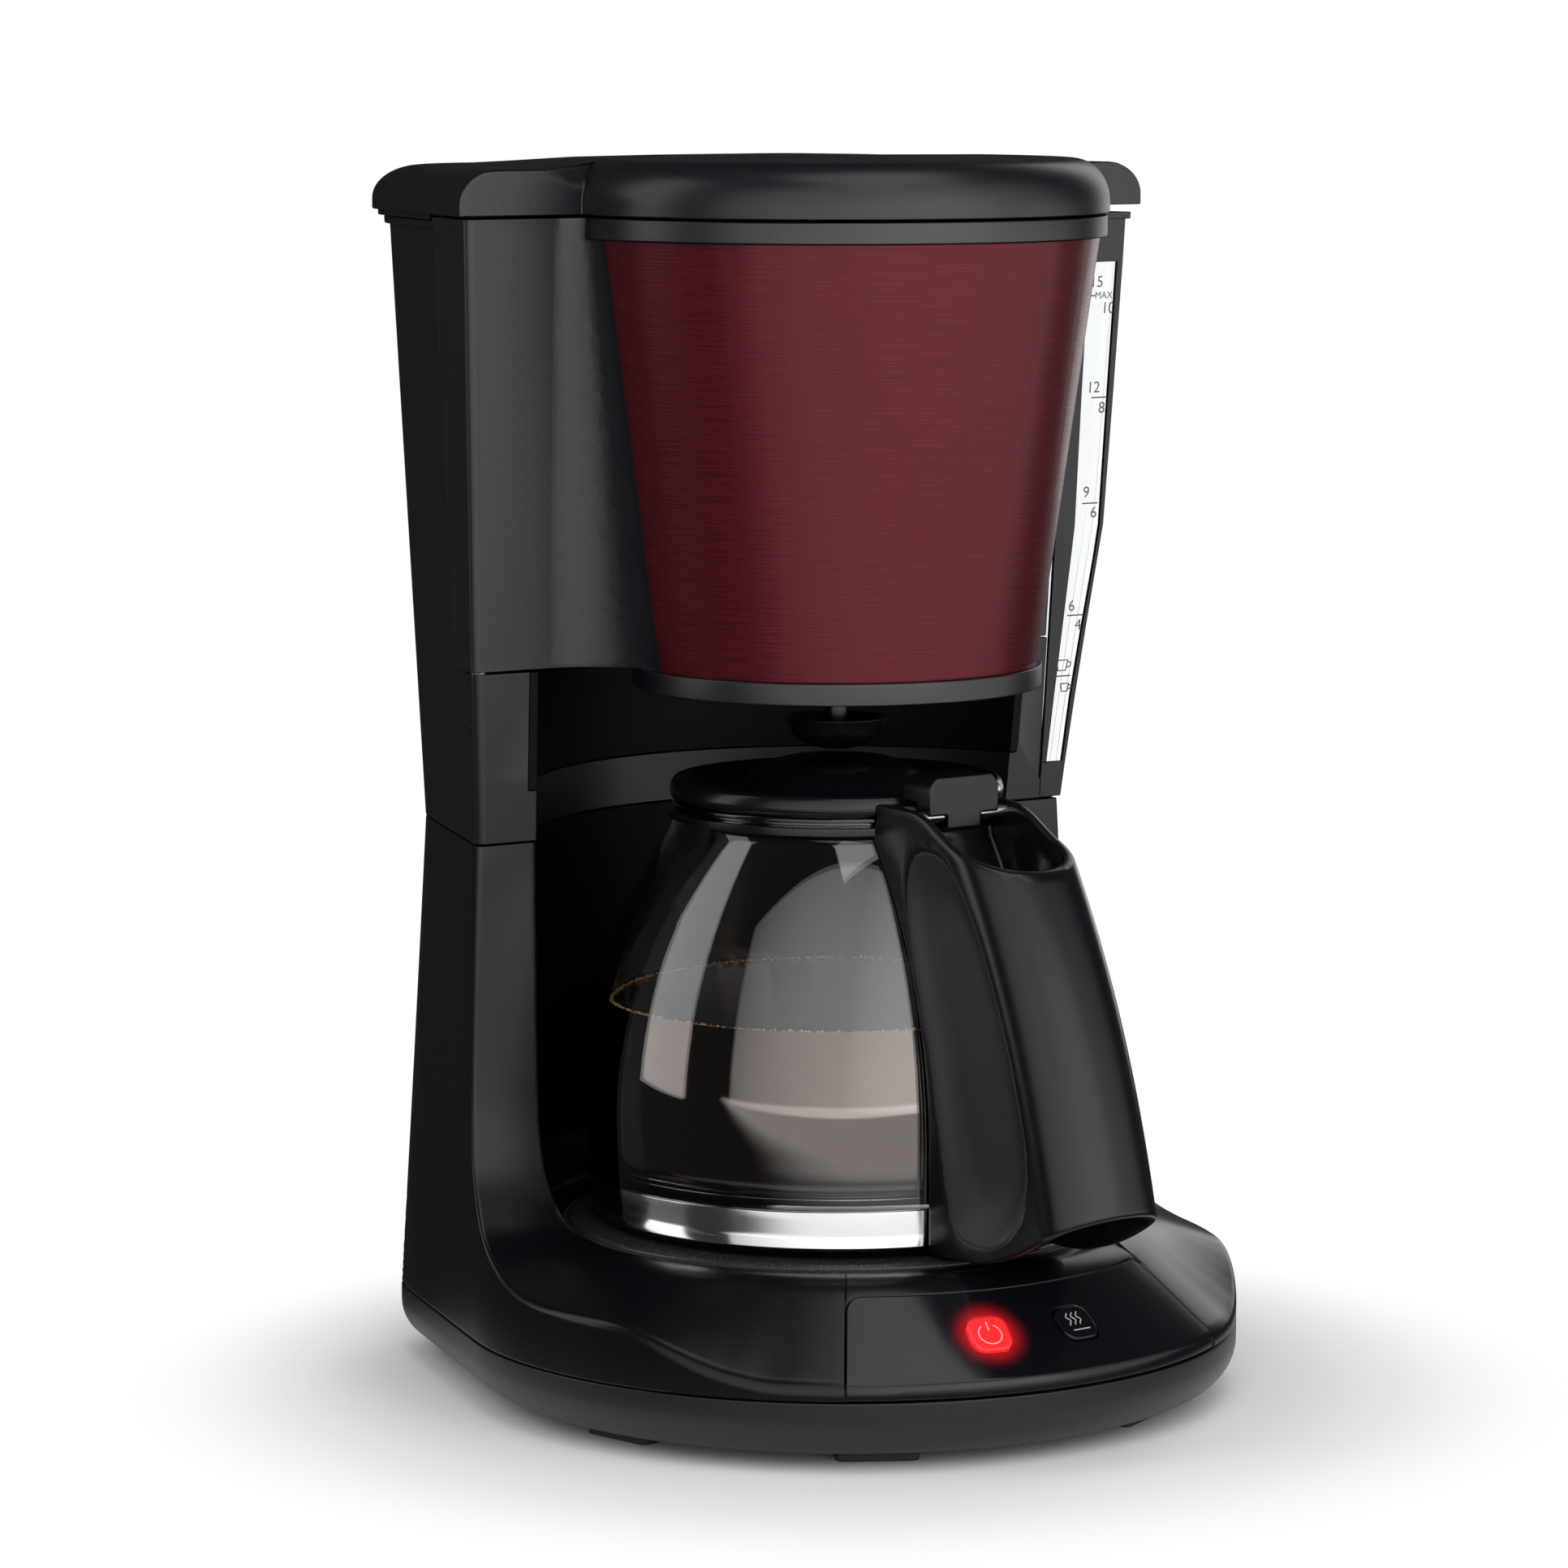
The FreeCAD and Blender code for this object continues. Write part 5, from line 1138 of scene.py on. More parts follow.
    def lip(self) -> None:
        """Build the lip under the lid that closes the tank's sides and back."""
        outer = self.outline(0.0, self.wall - self.lip_gap, self.bottom, self.bottom)
        inner = self.outline(0.0, self.wall + self.lip_wall, self.bottom, self.bottom)
        behind = outer[:, 1] > self.lip_front
        lines = []
        for line, height in ((outer, self.lip_top), (outer, self.lip_bottom), (inner, self.lip_bottom),
                             (inner, self.lip_top)):
            lines.append(np.column_stack([line[behind, :2], np.full(int(behind.sum()), height)]))
        rows = np.array(lines + lines[:1])
        shape = Shape()
        shape.grid(rows)
        shape.face(rows[:-1, 0])
        shape.face(rows[:-1, -1])
        Maker.piece("lid_lip", shape.mesh("lid_lip"), Body.LID, Finishes.SATIN, bevel=0.2)

    def knuckles(self) -> None:
        """Build the two hinge knuckles behind the lid."""
        y, z = self.axis
        turns = np.radians(np.linspace(-90.0, 90.0, self.knuckle_points))
        round_off = self.knuckle_radius * np.stack([np.cos(turns), np.sin(turns)], axis=1)
        nose = round_off + (y, z)
        root = self.back - self.knuckle_root
        outline = np.concatenate([nose, [(root, z + self.knuckle_over), (root, z - self.knuckle_under)]])
        shape = Shape()
        for side in (1.0, -1.0):
            loops = [np.column_stack([np.full(len(outline), side * x), outline]) for x in self.knuckle_ends]
            shape.grid(np.array(loops), closed=True)
            shape.face(loops[0])
            shape.face(loops[1])
        Maker.piece("lid_knuckles", shape.mesh("lid_knuckles"), Body.LID, Finishes.SATIN, bevel=0.4)


@dataclass
class Controls:
    """The control panel with its two buttons and their signs."""

    centre_reach: float = 95.8
    power_angle: float = -10.2
    keep_warm_angle: float = 6.0
    fall: float = 23.0 / 27.5
    cap_top: float = 0.6
    line: float = 0.22
    line_sunk: float = 0.4
    polish: float = 0.16
    ring_radius: float = 3.2
    ring_drop: float = 0.3
    ring_ends: tuple[float, float] = (122.0, 418.0)
    bar_ends: tuple[float, float] = (0.9, 3.7)
    wave_ends: tuple[float, float] = (-0.9, 3.2)
    wave_places: tuple[float, float, float] = (-2.1, -0.4, 1.3)
    wave_swing: float = 0.45
    wave_pitch: float = 2.4
    plate_ends: tuple[float, float] = (-2.6, 3.0)
    plate_drop: float = -2.5

    def place(self, angle: float, points: np.ndarray) -> np.ndarray:
        """Lay flat points on the sloping panel.

        Args:
            angle: Where on the panel, from the front towards the right.
            points: Distances to the right, up the slope and off the surface.

        Returns:
            The points in place.
        """
        turn = math.radians(angle)
        ahead = np.array([math.sin(turn), -math.cos(turn), 0.0])
        normal = ahead * self.fall + (0.0, 0.0, 1.0)
        normal = normal / np.linalg.norm(normal)
        right = np.array([math.cos(turn), math.sin(turn), 0.0])
        height = DECK_TOP - (self.centre_reach - DECK_FLAT) * self.fall
        spot = ahead * self.centre_reach + (0.0, BASE_Y, height)
        return spot + points @ np.array([right, np.cross(normal, right), normal])

    def flat(self, across: object, up: object) -> np.ndarray:
        """Points of a sign's line, half sunk into the cap."""
        lift = self.cap_top - self.line * self.line_sunk
        return np.stack(np.broadcast_arrays(across, up, lift), axis=-1).astype(float)

    def build(self) -> None:
        """Build the panel, the buttons and their signs."""
        halo = tuple(self.place(self.power_angle, np.zeros((1, 3)))[0])
        gloss = Finishes.GLOSS
        panel = HaloFinish("polished_panel_with_halo", gloss.slot, gloss.colour, gloss.pattern, gloss.grain,
                           gloss.tone, self.polish, gloss.spread, gloss.bump, shine=gloss.shine, centre=halo)
        Maker.softened("control_panel", Body.HOUSING, panel, 0.3)
        Maker.softened("power_button", Body.POWER, Finishes.LIT, 0.7)
        Maker.softened("keep_warm_button", Body.KEEP_WARM, Finishes.GLOSS, 0.7)
        turns = np.radians(np.linspace(*self.ring_ends, 32))
        ring = self.flat(self.ring_radius * np.cos(turns), self.ring_radius * np.sin(turns) - self.ring_drop)
        bar = self.flat(0.0, np.linspace(*self.bar_ends, 4))
        self.sign("power_sign", self.power_angle, [ring, bar], Body.POWER, Finishes.ICON_LIT)
        rise = np.linspace(*self.wave_ends, 18)
        sway = self.wave_swing * np.sin(rise * self.wave_pitch)
        waves = [self.flat(x + sway, rise) for x in self.wave_places]
        waves.append(self.flat(np.linspace(*self.plate_ends, 4), self.plate_drop))
        self.sign("keep_warm_sign", self.keep_warm_angle, waves, Body.KEEP_WARM, Finishes.ICON_PALE)

    def sign(self, name: str, angle: float, lines: Sequence[np.ndarray], body: Body, finish: Finish) -> None:
        """Draw one button's sign as raised lines."""
        mesh = line_mesh(name, [self.place(angle, line) for line in lines])
        Growth.grow(name, mesh, Growth.stroke(), {"Half Width": self.line * MM}, body, finish)


@dataclass
class Jug:
    """The glass jug with its coffee and foam, and its cover."""

    radius: float = 68.6
    belly: float = 75.0
    curve: float = 154.0
    shoulder: float = 158.0
    wall: float = 2.2
    floor: float = 61.0
    coffee_top: float = 107.4
    film: float = 0.15
    sides: int = 160
    cover_sides: int = 128
    sharp: float = 60.0
    foam_top: float = 108.0
    foam_inset: float = 0.75
    foam_steps: int = 181
    bubbles: int = 620
    smallest_bubble: float = 0.14
    largest_bubble: float = 0.46
    bubble_scatter: float = 0.3
    bubble_seed: int = 7

    def outer(self, height: object) -> np.ndarray:
        """Outer radius of the glass at heights."""
        rise = np.clip(np.asarray(height, float) - self.belly, 0.0, self.shoulder - self.belly)
        return self.radius - self.curve + np.sqrt(self.curve ** 2 - rise ** 2)

    def side(self, low: float, high: float, inset: float, count: int) -> np.ndarray:
        """A run of the glass's side as (radius, height), drawn in by an inset."""
        heights = np.linspace(low, high, count)
        return np.stack([self.outer(heights) - inset, heights], axis=1)

    def build(self) -> None:
        """Build the glass, the coffee and its foam, and the cover."""
        foot = [(0.0, 48.5), (57.0, 48.5), (59.5, 48.0), (63.6, 47.9), (66.3, 48.8), (68.0, 51.0),
                (68.55, 54.5)]
        neck = [(44.0, 159.6), (43.9, 160.6), (44.5, 161.2), (45.1, 161.8), (45.2, 162.4), (44.8, 163.0),
                (44.1, 163.2), (43.0, 163.1), (42.3, 162.6), (42.1, 161.6), (42.1, 160.0)]
        inside = [(66.3, 66.0), (65.6, 63.6), (63.6, 61.9), (60.0, 61.2), (54.0, self.floor),
                  (0.0, self.floor)]
        shape = Shape()
        shape.lathe(np.concatenate([foot, self.side(58.0, self.shoulder, 0.0, 44), neck,
                                    self.side(self.shoulder, 69.0, self.wall, 40), inside]), self.sides)
        Maker.piece("jug_glass_blown", shape.mesh("jug_glass_blown"), Body.JUG, Finishes.GLASS,
                    replaced=("jug_glass",), sharp=self.sharp)
        self.gleam()
        self.fill()
        self.cover()

    def gleam(self) -> None:
        """Build a mirrored ring inside the glass's thick foot: a painted reflection that stands in for the
        bright band that the foot's glass shows.
        """
        shape = Shape()
        ring = [(65.4, 50.2), (66.4, 50.2), (66.8, 50.8), (66.8, 60.0), (66.4, 60.6), (65.4, 60.6),
                (65.4, 50.2)]
        shape.lathe(ring, self.sides)
        Maker.piece("glass_foot_gleam", shape.mesh("glass_foot_gleam"), Body.JUG, Finishes.GLEAM,
                    sharp=self.sharp)

    def fill(self) -> None:
        """Build the coffee and the foam round its edge."""
        gap = self.wall + self.film
        low = [(0.0, 61.2), (54.0, 61.2), (59.8, 61.4), (63.3, 62.1), (65.3, 63.8), (66.1, 66.1)]
        edge = float(self.outer(self.coffee_top)) - gap
        top = [(edge - 0.1, 108.1), (edge - 0.9, 107.75), (edge - 2.6, 107.5), (edge - 6.0, self.coffee_top),
               (0.0, self.coffee_top)]
        shape = Shape()
        shape.lathe(np.concatenate([low, self.side(69.0, self.coffee_top, gap, 24), top]), self.sides)
        Maker.piece("coffee", shape.mesh("coffee"), Body.JUG, Finishes.COFFEE, sharp=self.sharp)
        ring = polar(edge - self.foam_inset, np.linspace(0.0, 360.0, self.foam_steps), self.foam_top)
        values = {"Count": self.bubbles, "Smallest": self.smallest_bubble * MM,
                  "Largest": self.largest_bubble * MM, "Scatter": self.bubble_scatter * MM,
                  "Seed": self.bubble_seed}
        Growth.grow("coffee_foam", line_mesh("coffee_foam", [ring]), Growth.bubbles(), values, Body.JUG,
                    Finishes.FOAM)

    def cover(self) -> None:
        """Build the jug's cover: a dished rim round a low dome."""
        rim = [(0.0, 165.4), (30.0, 162.2), (36.0, 161.9), (38.3, 159.2), (38.9, 158.5), (40.4, 158.5),
               (40.9, 159.4), (41.3, 163.2), (42.0, 163.5), (44.9, 163.5), (45.6, 163.9), (45.9, 165.0),
               (45.9, 166.3), (45.4, 167.9), (44.6, 168.8), (43.6, 168.9), (42.6, 168.4), (41.4, 167.2),
               (39.8, 166.2), (37.0, 165.8), (31.0, 165.6)]
        dome = [(27.4, 166.0), (25.6, 167.4), (23.0, 170.0), (19.4, 172.4), (14.4, 174.0), (9.0, 174.6),
                (7.7, 174.5), (7.2, 173.9), (0.0, 173.8)]
        steps = np.linspace(0.0, len(dome) - 1.0, 40)
        shape = Shape()
        shape.lathe(np.concatenate([rim, flowing(dome, steps)]), self.cover_sides)
        Maker.piece("jug_cover_moulded", shape.mesh("jug_cover_moulded"), Body.COVER, Finishes.GLOSS,
                    replaced=("jug_cover",), sharp=self.sharp)
        Maker.softened("thumb_lever", Body.COVER, Finishes.GLOSS, 0.6)
        Maker.softened("lever_rivet", Body.COVER, Finishes.STEEL, 0.2)


@dataclass
class Handle:
    """The jug's hollow handle with its two scooped soft pads."""

    jug: Jug
    turn: float = 3.0
    half: float = 18.0
    wall: float = 2.6
    nose: float = 0.8
    back_wall: float = 7.0
    gap: float = 0.3
    scoop: float = 3.6
    scoop_edge: float = 0.85
    cuff_height: float = 160.0
    cuff_reach: float = 46.4
    table_reach: float = 160.0
    flank_points: int = 30
    nose_points: int = 27
    back_points: int = 14
    ring_count: int = 48
    fit_rounds: int = 12
    first_height: float = 100.0
    dish_share: float = 0.5
    dish_edge: float = 0.15
    pad_points: int = 96
    pad_skin: float = 0.8
    pad_middle: float = 105.3
    pad_half: float = 51.6
    pad_wide: float = 2.6
    pad_tall: float = 4.5
    softness: int = 11

    HEIGHTS = (44.0, 75.0, 105.0, 136.0, 172.0)
    REACHES = (133.0, 126.5, 116.7, 103.7, 82.0)
    # distance from the jug's axis and height along the upper and the lower end
    OVER = ((-10.0, 167.3), (61.0, 167.0), (76.0, 158.5), (96.0, 152.0), (170.0, 152.0))
    UNDER = ((-10.0, 48.6), (87.0, 49.0), (98.0, 51.5), (109.0, 55.8), (121.0, 62.8), (140.0, 73.0),
             (170.0, 89.0))
    # height, middle and half width of the pad
    PAD = ((53.0, 88.0, 18.6), (65.0, 91.0, 19.0), (75.0, 91.2, 19.4), (85.0, 89.6, 19.4),
           (106.0, 84.0, 18.2), (125.0, 77.0, 17.3), (142.0, 70.8, 15.6), (157.0, 66.0, 13.5))

    def reach(self, height: object) -> np.ndarray:
        """Distance of the handle's nose from the jug's axis.

        Args:
            height: Heights.

        Returns:
            One distance for each height.
        """
        rows = np.stack([self.HEIGHTS, self.REACHES], axis=1)
        fit = np.polyfit(rows[:, 0], rows[:, 1], 3)
        return np.polyval(fit, height)

    def inner(self, height: np.ndarray, inset: float) -> np.ndarray:
        """Distance of the handle's glass side from the jug's axis at heights."""
        glass = np.where(height > self.cuff_height, self.cuff_reach, self.jug.outer(height) + self.gap)
        return glass + inset

    def end(self, table: Sequence[Sequence[float]], away: np.ndarray) -> np.ndarray:
        """Height of a softened end of the handle.

        Args:
            table: Distances from the jug's axis and heights.
            away: The distances to read.

        Returns:
            One height for each distance.
        """
        rows = np.array(table)
        span = self.softness
        places = np.arange(0.0, self.table_reach)
        soft = np.convolve(np.interp(places, rows[:, 0], rows[:, 1]), np.ones(span) / span, "same")
        return np.interp(away, places[span:-span], soft[span:-span])

    def pad_edge(self, away: np.ndarray, height: np.ndarray) -> np.ndarray:
        """How far out of the pad places on the flank are.

        Args:
            away: Their distances from the jug's axis.
            height: Their heights.

        Returns:
            1 on the pad's edge, less inside and more outside.
        """
        table = np.array(self.PAD)
        middle = np.interp(height, table[:, 0], table[:, 1])
        width = np.interp(height, table[:, 0], table[:, 2])
        along = np.abs(height - self.pad_middle) / self.pad_half
        return (np.abs(away - middle) / width) ** self.pad_wide + along ** self.pad_tall

    def scooped(self, edge: np.ndarray) -> np.ndarray:
        """Depth of the scoop below the flank, where 1 is the pad's edge."""
        return self.scoop * smoothstep(0.0, self.scoop_edge, 1.0 - edge)

    def ring(self, inset: float, share: float) -> np.ndarray:
        """One closed ring round the handle.

        Args:
            inset: 0 for the outer skin, the wall's thickness for the inner one.
            share: Share of the way from the lower to the upper end.

        Returns:
            A closed loop of points.
        """
        half = self.half - inset
        flank = np.linspace(0.0, 1.0, self.flank_points)
        level = np.zeros(self.flank_points)
        arc = np.linspace(0.0, math.pi, self.nose_points)[1:-1]
        across = np.concatenate([level - half, -half * np.cos(arc), level + half])
        bow = np.concatenate([level, np.sin(arc), level])
        part = np.concatenate([flank, np.ones(len(arc)), flank[::-1]])
        back_across = half * np.cos(np.linspace(0.0, math.pi, self.back_points)[1:-1])
        height = np.full(len(across), self.first_height)
        back_height = np.full(len(back_across), self.first_height)
        deep = self.back_wall if inset else 0.0
        for _ in range(self.fit_rounds):
            nose = self.reach(height) - inset - half * self.nose
            start = np.sqrt(self.inner(height, deep) ** 2 - half ** 2)
            away = mix(start, nose, part) + bow * half * self.nose
            height = mix(self.end(self.UNDER, away), self.end(self.OVER, away), share)
            back_away = np.sqrt(self.inner(back_height, deep) ** 2 - back_across ** 2)
            back_height = mix(self.end(self.UNDER, back_away), self.end(self.OVER, back_away), share)
        edge = self.pad_edge(away, height)
        dish = self.dish_share * self.pad_skin * smoothstep(0.0, self.dish_edge, 1.0 - edge)
        sunk = self.scooped(edge) + dish
        across = np.where(bow == 0.0, across - np.sign(across) * sunk, across)
        ring = np.stack([across, -away, height], axis=1)
        back = np.stack([back_across, -back_away, back_height], axis=1)
        return self.turned(np.concatenate([ring, back]))

    def turned(self, points: np.ndarray) -> np.ndarray:
        """Turn points about the jug's axis to the handle's side.

        Args:
            points: Points with the handle straight ahead.

        Returns:
            The turned points.
        """
        angle = math.radians(self.turn)
        cos, sin = math.cos(angle), math.sin(angle)
        x, y, z = points[..., 0], points[..., 1], points[..., 2]
        return np.stack([x * cos - y * sin, x * sin + y * cos, z], axis=-1)

    def build(self) -> None:
        """Build the handle and its pads."""
        shares = np.linspace(0.0, 1.0, self.ring_count)
        outer = np.array([self.ring(0.0, share) for share in shares])
        inner = np.array([self.ring(self.wall, share) for share in shares])
        shape = Shape()
        shape.grid(outer, closed=True)
        shape.grid(inner, closed=True)
        shape.grid(np.array([inner[0], outer[0]]), closed=True)
        shape.grid(np.array([inner[-1], outer[-1]]), closed=True)
        Maker.piece("jug_handle_shell", shape.mesh("jug_handle_shell"), Body.JUG, Finishes.GLOSS, bevel=0.8,
                    replaced=("jug_handle",), sharp=46.0)
        self.pad("grip_pad_left", -1.0)
        self.pad("grip_pad_right", 1.0)

    def pad(self, node: str, side: float) -> None:
        """Build one soft pad in its dish.

        Args:
            node: The CAD node that it stands for.
            side: -1 on the left flank, 1 on the right.
        """
        table = np.array(self.PAD)
        turns = np.linspace(0.0, math.tau, self.pad_points, endpoint=False)
        wide = np.sign(np.cos(turns)) * np.abs(np.cos(turns)) ** (2.0 / self.pad_wide)
        tall = np.sign(np.sin(turns)) * np.abs(np.sin(turns)) ** (2.0 / self.pad_tall)
        rings = []
        for share, sunk in self.pad_profile():
            height = self.pad_middle + self.pad_half * share * tall
            middle = np.interp(height, table[:, 0], table[:, 1])
            width = np.interp(height, table[:, 0], table[:, 2])
            away = middle + width * share * wide
            depth = self.scooped(self.pad_edge(away, height)) + sunk
            rings.append(np.stack([side * (self.half - depth), -away, height], axis=1))
        shape = Shape()
        shape.grid(self.turned(np.array(rings)), closed=True)
        shape.face(self.turned(rings[0]))
        shape.face(self.turned(rings[-1]))
        Maker.piece(f"{node}_moulded", shape.mesh(node), Body.JUG, Finishes.GRIP, replaced=(node,),
                    sharp=self.jug.sharp)

    def pad_profile(self) -> list[tuple[float, float]]:
        """The pad's cross profile.

        Returns:
            Shares of the pad's size and depths below the scoop, from its middle over its edge to its back.
        """
        face = [(float(share), 0.0) for share in np.linspace(0.03, 0.97, 24)]
        edge = [(0.985, 0.02), (0.994, 0.12), (0.995, self.pad_skin)]
        back = [(float(share), self.pad_skin) for share in np.linspace(0.9, 0.03, 8)]
        return face + edge + back


@dataclass
class TowerBend:
    """The bend in the tower's right front edge, which the CAD tower runs straight past."""

    waist_half: float = 96.5
    top_half: float = 107.0
    waist_face: float = 30.7
    top_face: float = 15.0
    still: float = 89.0
    depth: float = 45.0
    cut_near: float = 0.001

    OUTLINE = ((WAIST, 96.5), (171.0, 98.2), (202.0, 101.9), (232.0, 105.8), (243.0, 106.3), (270.0, 106.5),
               (285.0, 106.8), (307.0, 107.0), (TOWER_TOP, 107.0))    # height and reach of the bent edge

    def edge(self, height: object) -> object:
        """How far out the bent edge lies at a height."""
        heights, reaches = zip(*self.OUTLINE)
        return np.interp(height, heights, reaches)

    def front(self, height: object) -> object:
        """Depth of the tower's front face at a height."""
        return mix(self.waist_face, self.top_face, (height - WAIST) / (TOWER_TOP - WAIST))

    def half(self, height: object) -> object:
        """How far out the CAD tower's straight edge lies at a height."""
        return mix(self.waist_half, self.top_half, (height - WAIST) / (TOWER_TOP - WAIST))

    def bend(self, obj: bpy.types.Object) -> None:
        """Bend the right front edge of a piece's own mesh.

        Args:
            obj: A dressed copy of the rear housing or of the tank.
        """
        work = bmesh.new()
        work.from_mesh(obj.data)
        for height, _ in self.OUTLINE[1:-1]:
            whole = [*work.verts, *work.edges, *work.faces]
            bmesh.ops.bisect_plane(work, geom=whole, dist=self.cut_near * MM,
                                   plane_co=(0.0, 0.0, height * MM), plane_no=(0.0, 0.0, 1.0))
        for vertex in work.verts:
            x, y, z = vertex.co / MM
            if x > self.still and WAIST < z < TOWER_TOP:
                half = self.half(z)
                across = (x - self.still) / (half - self.still)
                along = 1.0 - (y - AXIS_Y - self.front(z)) / self.depth
                share = min(max(across, 0.0), 1.0) * min(max(along, 0.0), 1.0)
                vertex.co.x += (self.edge(z) - half) * share * MM
        work.to_mesh(obj.data)
        work.free()


@dataclass
class LevelScale:
    """The numbers and ticks of the water level on the tank's column."""

    tower: TowerBend
    skin: float = 0.45
    number_size: float = 4.6
    word_size: float = 2.852
    raised: float = 0.03
    tick_half: float = 0.2

    # text, reach and height of its middle
    NUMBERS = (("15", 98.9, 301.4), ("MAX", 101.6, 297.6), ("10", 103.4, 293.9), ("12", 100.0, 271.3),
               ("8", 103.3, 265.4), ("9", 99.7, 241.2), ("6", 102.7, 235.3), ("6", 97.0, 208.5),
               ("4", 99.7, 202.9))
    # height, and the reach of both ends
    TICKS = ((268.5, 99.6, 104.6), (238.1, 98.6, 103.8), (205.8, 95.8, 101.0), (188.3, 93.2, 98.0),
             (297.6, 97.4, 98.6))
    # reach, height and size of a large and a small cup, and the lines of a cup of size 1
    CUPS = ((94.9, 191.4, 1.9), (96.2, 184.9, 1.4))
    BOWL = ((-1.0, 0.8), (-0.7, -0.8), (0.7, -0.8), (1.0, 0.8), (-1.0, 0.8))
    GRIP = ((0.95, 0.5), (1.6, 0.4), (1.5, -0.2), (0.85, -0.3))

    def front(self, height: object) -> object:
        """Depth of the print behind the column's front face at a height."""
        return self.tower.front(height) + self.skin

    def number(self, text: str, x: float, z: float) -> tuple[np.ndarray, list[list[int]]]:
        """One number on the column's front face.

        Args:
            text: What it says.
            x: Reach of its middle.
            z: Height of its middle.

        Returns:
            Its points, and its faces by point number.
        """
        curve = bpy.data.curves.new("number", "FONT")
        curve.body = text
        curve.size = self.word_size if len(text) > 2 else self.number_size
        curve.align_x, curve.align_y = "CENTER", "CENTER"
        curve.extrude = self.raised
        obj = bpy.data.objects.new("number", curve)
        bpy.context.scene.collection.objects.link(obj)
        graph = bpy.context.evaluated_depsgraph_get()
        mesh = bpy.data.meshes.new_from_object(obj.evaluated_get(graph))
        flat = np.array([vertex.co[:] for vertex in mesh.vertices])
        faces = [list(face.vertices) for face in mesh.polygons]
        bpy.data.objects.remove(obj)
        bpy.data.meshes.remove(mesh)
        bpy.data.curves.remove(curve)
        height = z + flat[:, 1]
        return np.stack([x + flat[:, 0], self.front(height) - flat[:, 2], height], axis=1), faces

    def cups(self) -> list[np.ndarray]:
        """Outlines of a large and a small cup.

        Returns:
            Points, line by line.
        """
        lines = []
        for x, z, size in self.CUPS:
            for part in (np.array(self.BOWL) * size, np.array(self.GRIP) * size):
                height = z + part[:, 1]
                lines.append(np.stack([x + part[:, 0], self.front(height), height], axis=1))
        return lines

    def build(self) -> None:
        """Build the numbers, the ticks and the cups."""
        shape = Shape()
        for text, x, z in self.NUMBERS:
            points, faces = self.number(text, x, z)
            first = shape.keep(points)
            shape.faces += [[first + corner for corner in face] for face in faces]
        Maker.piece("level_numbers", shape.mesh("level_numbers"), Body.HOUSING, Finishes.PRINT)
        lines = self.cups()
        for z, low, high in self.TICKS:
            lines.append(np.array([(x, self.front(z), z) for x in np.linspace(low, high, 3)]))
        Growth.grow("level_ticks", line_mesh("level_ticks", lines), Growth.stroke(),
                    {"Half Width": self.tick_half * MM}, Body.HOUSING, Finishes.PRINT)


@dataclass
class LevelFrame:
    """The black surround of the level window, at the tower's right front edge."""

    tower: TowerBend
    left: float = 89.4
    proud: float = 0.3
    thick: float = 0.9
    overlap: float = 0.1
    lean: float = 0.27
    bottom: float = 153.3
    top: float = 321.3
    lip_low: float = 319.3
    lip_reach: float = 1.5
    lip_wrap: float = 27.0
    lip_corner: float = 0.8
    lip_root: float = 0.2

    # height, and the reach of the window's left and right edges
    WINDOW = ((163.5, 91.0, 96.4), (182.0, 92.3, 98.1), (202.0, 93.8, 100.7), (222.0, 95.3, 103.5),
              (232.0, 96.0, 104.6), (270.0, 95.6, 104.8), (307.2, 95.4, 105.1))

    def bar(self, shape: Shape, loops: Sequence[Sequence[tuple[float, float]]],
            heights: Sequence[float]) -> None:
        """Add a closed bar through level loops.

        Args:
            shape: The shape that takes the bar.
            loops: One loop of points for each height, each a reach and a depth behind the front face.
            heights: The heights of the loops.
        """
        rows = np.array([[(x, self.tower.front(z) + y, z) for x, y in loop]
                         for loop, z in zip(loops, heights)])
        shape.grid(rows, closed=True)
        shape.face(rows[0])
        shape.face(rows[-1])

    def plate(self, low: float, high: float) -> list[tuple[float, float]]:
        """A loop round a flat strip of the surround."""
        return [(low, -self.proud), (high, -self.proud), (high, self.thick), (low, self.thick)]

    def lip(self, edge: float) -> list[tuple[float, float]]:
        """A loop round the lip above the window.

        Args:
            edge: How far out the tower's edge lies.

        Returns:
            Reaches and depths behind the front face.
        """
        reach, back = edge + self.lip_reach, edge - self.lean * self.lip_wrap
        front = [(self.left, -self.lip_reach), (reach - self.lip_corner, -self.lip_reach),
                 (reach, -self.lip_reach + self.lip_corner)]
        return front + [(back + self.lip_reach, self.lip_wrap), (back, self.lip_wrap), (edge, self.lip_root),
                        (self.left, self.lip_root)]

    def build(self) -> None:
        """Build the strips round the window and the lip above it."""
        bend, shape = self.tower, Shape()
        heights = [z for z, _, _ in self.WINDOW]
        _, _, right_low = self.WINDOW[0]
        _, _, right_top = self.WINDOW[-1]
        self.bar(shape, [self.plate(self.left, low) for _, low, _ in self.WINDOW], heights)
        self.bar(shape, [self.plate(self.left, right_top)] * 2, (heights[-1], self.top))
        self.bar(shape, [self.plate(self.left, right_low)] * 2, (self.bottom, heights[0]))
        tall = [self.bottom, *heights, self.top]
        windows = [right_low, *(high for _, _, high in self.WINDOW), right_top]
        self.bar(shape, [self.plate(window, bend.edge(z) + self.overlap) for window, z in zip(windows, tall)],
                 tall)
        self.bar(shape, [self.lip(bend.edge(self.top))] * 2, (self.lip_low, self.top))
        Maker.piece("level_frame", shape.mesh("level_frame"), Body.HOUSING, Finishes.SATIN, bevel=0.2)


